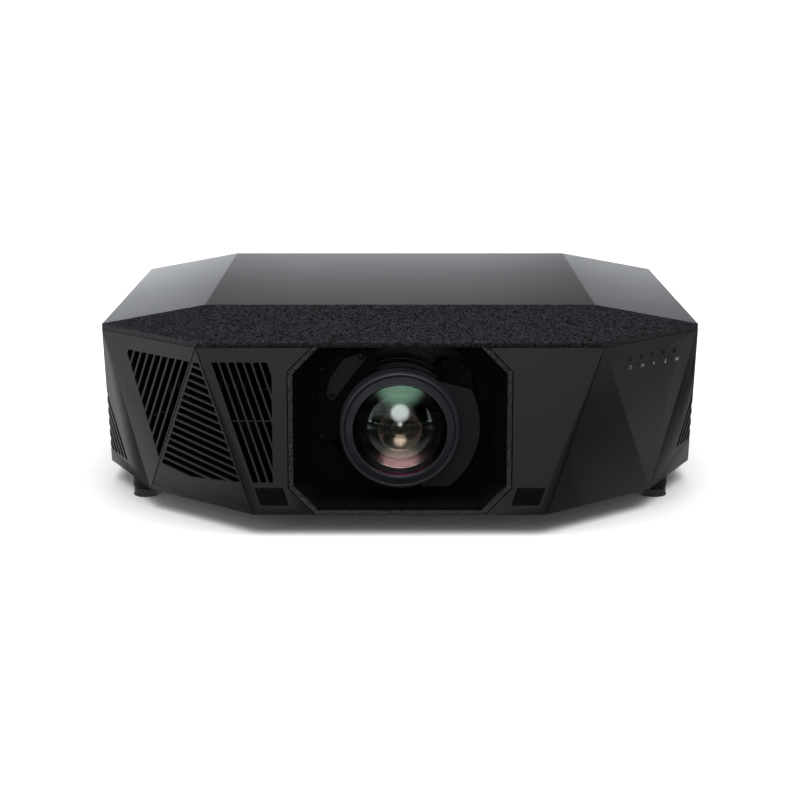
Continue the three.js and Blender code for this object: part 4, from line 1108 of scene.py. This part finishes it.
class PROJECTOR_OT_feet(bpy.types.Operator):
    """Turns the four feet: a rubber pad with a raised lip, on a stem or a stud"""

    bl_idname = "projector.feet"
    bl_label = "Feet"

    def execute(self, context):
        for side in ("left", "right"):
            front = f"front_{side}_foot"
            self.turn(f"{front}_pad", 0.0)
            moulded(f"{front}_stem", 0.2 * MM, black_metal())
            self.turn(f"rear_{side}_foot", 5 * MM)
        return {"FINISHED"}

    def turn(self, name, stud):
        low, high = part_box(name)
        middle = (low + high) / 2
        radius = (high.x - low.x) / 2
        core = max(stud, 4.3 * MM)
        top = low.z + 8 * MM
        hollow = low.z + 0.6 * MM
        side = radius - 0.7 * MM
        outline = [
            (0, hollow), (radius - 2.6 * MM, hollow), (radius - 2.2 * MM, low.z),
            (radius - 0.5 * MM, low.z), (radius, low.z + 0.5 * MM), (radius, low.z + 1.5 * MM),
            (side, low.z + 2 * MM), (side, top - 1 * MM), (radius - 1.2 * MM, top), (core, top),
        ]
        if stud:
            outline += [(stud, high.z), (0, high.z)]
        else:
            socket = top - 5 * MM
            outline += [(core, socket), (0, socket)]
        foot = spun(f"{name}_finish", outline, axis="Z", centre=middle, steps=56)
        round_edges(foot, 0.2 * MM, 2, math.radians(25))
        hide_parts(name)
        fit_to(foot, BODY_OF[name], foot_rubber())


# ---- inside --------------------------------------------------------------------------------


class PROJECTOR_OT_cooling(bpy.types.Operator):
    """Makes the fans, the heat sink and the air filter"""

    bl_idname = "projector.cooling"
    bl_label = "Cooling"

    def execute(self, context):
        inner = context.scene.projector_edges.inner
        for part in ("exhaust_fan_frame", "exhaust_fan_rotor", "intake_fan_frame",
                     "intake_fan_rotor"):
            moulded(part, inner, black_plastic())
        moulded("heat_sink", 0.2 * MM, black_metal())
        moulded("air_filter", 0.6 * MM, filter_foam())
        return {"FINISHED"}


class PROJECTOR_OT_light_engine(bpy.types.Operator):
    """Makes the light engine: housing, prism, laser, phosphor wheel and its bracket"""

    bl_idname = "projector.light_engine"
    bl_label = "Light engine"

    def execute(self, context):
        inner = context.scene.projector_edges.inner
        for part in ("optical_engine_housing", "laser_module", "wheel_bracket"):
            moulded(part, inner, black_metal())
        moulded("phosphor_wheel", 0.2 * MM, bare_metal())
        moulded("dichroic_prism", 0.3 * MM, front_glass())
        return {"FINISHED"}


class PROJECTOR_OT_electronics(bpy.types.Operator):
    """Makes the main board and the power supply"""

    bl_idname = "projector.electronics"
    bl_label = "Electronics"

    def execute(self, context):
        moulded("main_board", 0.1 * MM, board_resist())
        moulded("power_supply", 0.4 * MM, bare_metal())
        return {"FINISHED"}


# ---- back ----------------------------------------------------------------------------------


class PROJECTOR_OT_rear_sockets(bpy.types.Operator):
    """Makes the connector tray, its sockets and the power inlet"""

    bl_idname = "projector.rear_sockets"
    bl_label = "Rear sockets"

    def execute(self, context):
        moulded("connector_tray", 0.3 * MM, black_plastic())
        for socket in ("hdmi_socket_1", "hdmi_socket_2", "lan_socket"):
            moulded(socket, 0.2 * MM, bare_metal())
            self.fill(socket)
        moulded("power_inlet", 0.3 * MM, black_plastic())
        point, normal, across, up = facet_frame("rear_panel", Vector((0, 1, 0)))
        places = []
        for x, z in ((-160, 160), (0, 160), (160, 160), (-118, 30), (118, 30)):
            spot = Vector((x * MM, 0, z * MM))
            spot.y = (point - spot).dot(normal) / normal.y
            places.append(flat_frame(spot, across, up))
        screws("rear_screw", "case", places)
        under = facet_of("bottom_case", Vector((0, 0, -1)))[0].z
        spots = [(x, y) for x in (-120, 120) for y in (-190, 190)]
        places = [flat_frame(Vector((x * MM, y * MM, under)), *DOWNWARD) for x, y in spots]
        screws("bottom_screw", "case", places)
        return {"FINISHED"}

    def fill(self, socket):
        """A tongue across the mouth, with a row of contacts along it."""
        count = 8
        low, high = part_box(socket)
        width = 0.55 * (high.x - low.x)
        middle = rear_middle(socket) - Vector((0, 9 * MM, 0))
        tongue = block(f"{socket}_tongue", middle, (width, 10 * MM, 1.2 * MM))
        with editing(tongue):
            choose(tongue, "FACE", lambda f: f.normal.y > 0.9)
            bpy.ops.transform.resize(value=(0.94, 1, 0.6))
        round_edges(tongue, 0.15 * MM)
        fit_to(tongue, "case", black_plastic())
        on_tongue = middle + Vector((0, 0, 0.65 * MM))
        contact = block("contact_pattern", on_tongue, (0.5 * MM, 7 * MM, 0.3 * MM))
        with editing(contact):
            choose(contact, "EDGE", lambda e: middle_of(e).y > middle.y + 3.4 * MM)
            bpy.ops.mesh.bevel(offset=0.1 * MM, segments=1)
        names = [f"{socket}_contact_{i + 1}" for i in range(count)]
        pitch = width / (count + 1)
        places = [Matrix.Translation((pitch * (i - (count - 1) / 2), 0, 0)) for i in range(count)]
        for pin in copies(contact, names, places):
            fit_to(pin, "case", gold_contact())


ARROW_RADIUS = 8.5 * MM


class PROJECTOR_OT_keys(bpy.types.Operator):
    """Makes the keys on the back and the marks printed on them"""

    bl_idname = "projector.keys"
    bl_label = "Keys"

    def execute(self, context):
        for key in ("power_button", "menu_button", "escape_button", "enter_button",
                    "direction_ring"):
            moulded(key, 0.25 * MM, black_plastic())
        for key, draw in (("power", draw_power), ("menu", draw_menu), ("escape", draw_back)):
            button = f"{key}_button"
            place = flat_frame(rear_middle(button), *BACKWARD)
            printed(f"{key}_mark", draw, place, BODY_OF[button], 0.8)
        middle = rear_middle("direction_ring")
        for i in range(4):
            turn = Matrix.Rotation(i * math.pi / 2, 3, "Y")
            across, up = turn @ BACKWARD[0], turn @ BACKWARD[1]
            place = flat_frame(middle + up * ARROW_RADIUS, across, up)
            printed(f"arrow_mark_{i + 1}", draw_arrow, place, BODY_OF["direction_ring"], 0.9)
        return {"FINISHED"}


# ---- stage ---------------------------------------------------------------------------------


def card_material(name, strength, falloff):
    """Glowing card, brightest where the falloff says; falloff(tree, where) gives a value."""
    material = bpy.data.materials.new(name)
    material.use_nodes = True
    tree = material.node_tree
    tree.nodes.remove(tree.nodes["Principled BSDF"])
    where = node(tree, "TexCoord").outputs["Object"]
    shade = node(tree, "VectorMath", {0: (0.93, 0.96, 1.0), "Scale": falloff(tree, where)},
                 operation="SCALE")
    glow = node(tree, "Emission", {"Color": shade.outputs[0], "Strength": strength})
    tree.links.new(glow.outputs[0], tree.nodes["Material Output"].inputs["Surface"])
    return material


BACK_CARD_Y = 0.75
FRONT_CARD_Y = -2.3
SIDE_CARD_X = 1.6
SOFT_BOX_HEIGHT = 0.84


def behind(tree, where):
    """The wall behind: bright near the floor, and dimmer towards both sides."""
    place = node(tree, "SeparateXYZ", {0: where})
    low = span(tree, place.outputs["Z"], (0.1, 0.325), (1.0, 0.0), "SMOOTHSTEP")
    left = span(tree, place.outputs["X"], (-0.7, -0.15), (0.36, 1.0))
    right = span(tree, place.outputs["X"], (0.1, 0.6), (1.0, 0.12))
    side = combined(tree, "MULTIPLY", left, right)
    return combined(tree, "MULTIPLY", low, side)


def ahead(tree, where):
    """The wall ahead: a round soft box with a halo, on a wall that is lit from the left."""
    place = node(tree, "SeparateXYZ", {0: where})
    sideways = span(tree, place.outputs["X"], (-1.8, 0.2), (0.4, 0.0))
    upwards = span(tree, place.outputs["Z"], (0.1, 1.2), (0.0, 1.0), "SMOOTHSTEP")
    wall = combined(tree, "MULTIPLY", sideways, upwards)
    far = off_axis(tree, where, Vector((0, 0, SOFT_BOX_HEIGHT)))
    box = span(tree, far, (0.4, 0.78), (4.2, 0.0), "SMOOTHSTEP")
    halo = span(tree, far, (0.5, 1.3), (0.4, 0.0), "SMOOTHSTEP")
    soft = combined(tree, "MULTIPLY", halo, upwards)
    glow = combined(tree, "ADD", soft, box)
    return combined(tree, "ADD", wall, glow)


def ground(tree, where):
    """The floor: bright beside and behind the case, and dark where the lens would show it."""
    place = node(tree, "SeparateXYZ", {0: where})
    side = span(tree, place.outputs["X"], (-0.6, 0.6), (1.35, 0.45))
    near = span(tree, place.outputs["Y"], (-0.36, -0.12), (0.03, 1.0))
    off = node(tree, "Math", {0: place.outputs["X"]}, operation="ABSOLUTE").outputs[0]
    wide = span(tree, off, (0.3, 0.5), (0.0, 1.0))
    close = span(tree, place.outputs["Y"], (-0.7, -0.35), (0.0, 1.0))
    flank = combined(tree, "MULTIPLY", wide, close)
    open_floor = combined(tree, "MAXIMUM", near, flank)
    return combined(tree, "MULTIPLY", side, open_floor)


def beside(tree, where):
    """The low walls at the sides, brighter on the left."""
    place = node(tree, "SeparateXYZ", {0: where})
    return span(tree, place.outputs["X"], (-0.8, 0.8), (1.0, 0.6))


def card(name, size, place, material):
    """A lit card that shows only in reflections."""
    pick()
    bpy.ops.mesh.primitive_grid_add(x_subdivisions=2, y_subdivisions=2, size=1)
    piece = named(name)
    set_down(piece, place @ Matrix.Diagonal((*size, 1, 1)))
    paint(piece, material)
    piece.visible_camera = False
    piece.visible_diffuse = False
    piece.visible_shadow = False
    return piece


def looking_at(place, target):
    """A matrix whose -Z looks from a place at a target, as lights and cameras do."""
    turn = (target - place).to_track_quat("-Z", "Y").to_matrix().to_4x4()
    return Matrix.Translation(place) @ turn


def area_light(name, place, size, power, colour=(1, 1, 1), target=Vector((0, 0, 0.1))):
    """A soft box that lights the object from one side."""
    lamp = bpy.data.lights.new(name, "AREA")
    lamp.shape = "RECTANGLE"
    lamp.size, lamp.size_y = size
    lamp.energy = power
    lamp.color = colour
    holder = bpy.data.objects.new(name, lamp)
    holder.matrix_world = looking_at(Vector(place), target)
    holder.visible_camera = False
    holder.visible_transmission = False
    bpy.context.scene.collection.objects.link(holder)
    return holder


class PROJECTOR_OT_stage(bpy.types.Operator):
    """Sets up the pale floor, the soft studio light and the camera"""

    bl_idname = "projector.stage"
    bl_label = "Stage"

    def execute(self, context):
        stage = context.scene.projector_stage
        self.lay_floor(stage)
        self.light(stage)
        self.point_camera(stage)
        return {"FINISHED"}

    def lay_floor(self, stage):
        pick()
        bpy.ops.mesh.primitive_plane_add(size=4000)
        floor = named("floor")
        floor.visible_diffuse = False
        floor.visible_glossy = False
        material, tree, shader = blank("pale_floor", Roughness=0.9, Specular_IOR_Level=0.1)
        patches = placed(tree, handling(), Patch=0.5, Low=0.99, High=1.0)
        shade = placed(tree, tint(), Colour=(*stage.floor_colour, 1), Mask=patches.outputs[0],
                       Dark=0.98, Light=1.0)
        tree.links.new(shade.outputs[0], shader.inputs["Base Color"])
        paint(floor, material)

    def light(self, stage):
        world = bpy.data.worlds.new("studio")
        bpy.context.scene.world = world
        world.use_nodes = True
        background = world.node_tree.nodes["Background"]
        background.inputs["Color"].default_value = (1, 1, 1, 1)
        background.inputs["Strength"].default_value = 0.5
        world.cycles_visibility.glossy = False
        sun = bpy.data.lights.new("overhead", "SUN")
        sun.energy = stage.sun_strength
        sun.angle = math.radians(64)
        holder = bpy.data.objects.new("overhead", sun)
        holder.matrix_world = looking_at(Vector((0.12, -0.8, 3)), Vector((0, 0, 0)))
        holder.visible_glossy = False
        bpy.context.scene.collection.objects.link(holder)
        area_light("front_left_box", (-1.1, -1.35, 0.75), (0.6, 0.6), 2.2)
        self.set_cards()

    def set_cards(self):
        """Glowing walls and floor round the set, which the coats and the lens reflect."""
        walls = (
            ("back_card", (2.4, 0.64), Vector((0, BACK_CARD_Y, 0.32)), FORWARD, 11.0, behind),
            ("front_card", (5.0, 2.5), Vector((0, FRONT_CARD_Y, 1.25)), BACKWARD, 1.0, ahead),
            ("floor_glow", (9.0, 4.0), Vector((0, 0, 0.002)), UPWARD, 1.0, ground),
            ("left_card", (2.4, 0.4), Vector((-SIDE_CARD_X, 0.7, 0.22)), RIGHTWARD, 0.4, beside),
            ("right_card", (2.4, 0.4), Vector((SIDE_CARD_X, 0.7, 0.22)), LEFTWARD, 0.5, beside),
        )
        for name, size, place, facing, strength, falloff in walls:
            material = card_material(name, strength, falloff)
            card(name, size, flat_frame(place, *facing), material)

    def point_camera(self, stage):
        shot = bpy.data.cameras.new("camera")
        shot.lens = stage.camera_lens
        shot.sensor_width = 36
        holder = bpy.data.objects.new("camera", shot)
        holder.location = stage.camera_place
        holder.rotation_euler = (math.pi / 2 - stage.camera_pitch, 0, 0)
        bpy.context.scene.collection.objects.link(holder)
        bpy.context.scene.camera = holder
        bpy.context.scene.view_settings.view_transform = "Standard"


# ---- sidebar and registration --------------------------------------------------------------

STEPS = (
    PROJECTOR_OT_top_cover, PROJECTOR_OT_panels, PROJECTOR_OT_recess,
    PROJECTOR_OT_receiver_windows, PROJECTOR_OT_status_lights, PROJECTOR_OT_lens_bezel,
    PROJECTOR_OT_lens_glass, PROJECTOR_OT_lens_mount, PROJECTOR_OT_lens_drive,
    PROJECTOR_OT_feet, PROJECTOR_OT_cooling, PROJECTOR_OT_light_engine,
    PROJECTOR_OT_electronics, PROJECTOR_OT_rear_sockets, PROJECTOR_OT_keys, PROJECTOR_OT_stage,
)


class PROJECTOR_PT_sidebar(bpy.types.Panel):
    """Lists the projector's pieces and its settings"""

    bl_idname = "PROJECTOR_PT_sidebar"
    bl_label = "Projector"
    bl_space_type = "VIEW_3D"
    bl_region_type = "UI"
    bl_category = "Projector"

    def draw(self, context):
        for step in STEPS:
            self.layout.operator(step.bl_idname)
        for name, settings in SETTINGS.items():
            box = self.layout.box()
            for key in settings.__annotations__:
                box.prop(getattr(context.scene, name), key)


SETTINGS = {
    "projector_coats": ProjectorCoats,
    "projector_edges": ProjectorEdges,
    "projector_lens": ProjectorLens,
    "projector_stage": ProjectorStage,
}


def register():
    for name, settings in SETTINGS.items():
        bpy.utils.register_class(settings)
        setattr(bpy.types.Scene, name, bpy.props.PointerProperty(type=settings))
    for made in (*STEPS, PROJECTOR_PT_sidebar):
        bpy.utils.register_class(made)


def unregister():
    for made in (PROJECTOR_PT_sidebar, *reversed(STEPS)):
        bpy.utils.unregister_class(made)
    for name, settings in SETTINGS.items():
        delattr(bpy.types.Scene, name)
        bpy.utils.unregister_class(settings)


def main():
    register()
    for step in STEPS:
        space, name = step.bl_idname.split(".")
        getattr(getattr(bpy.ops, space), name)()


if __name__ == "__main__":
    main()
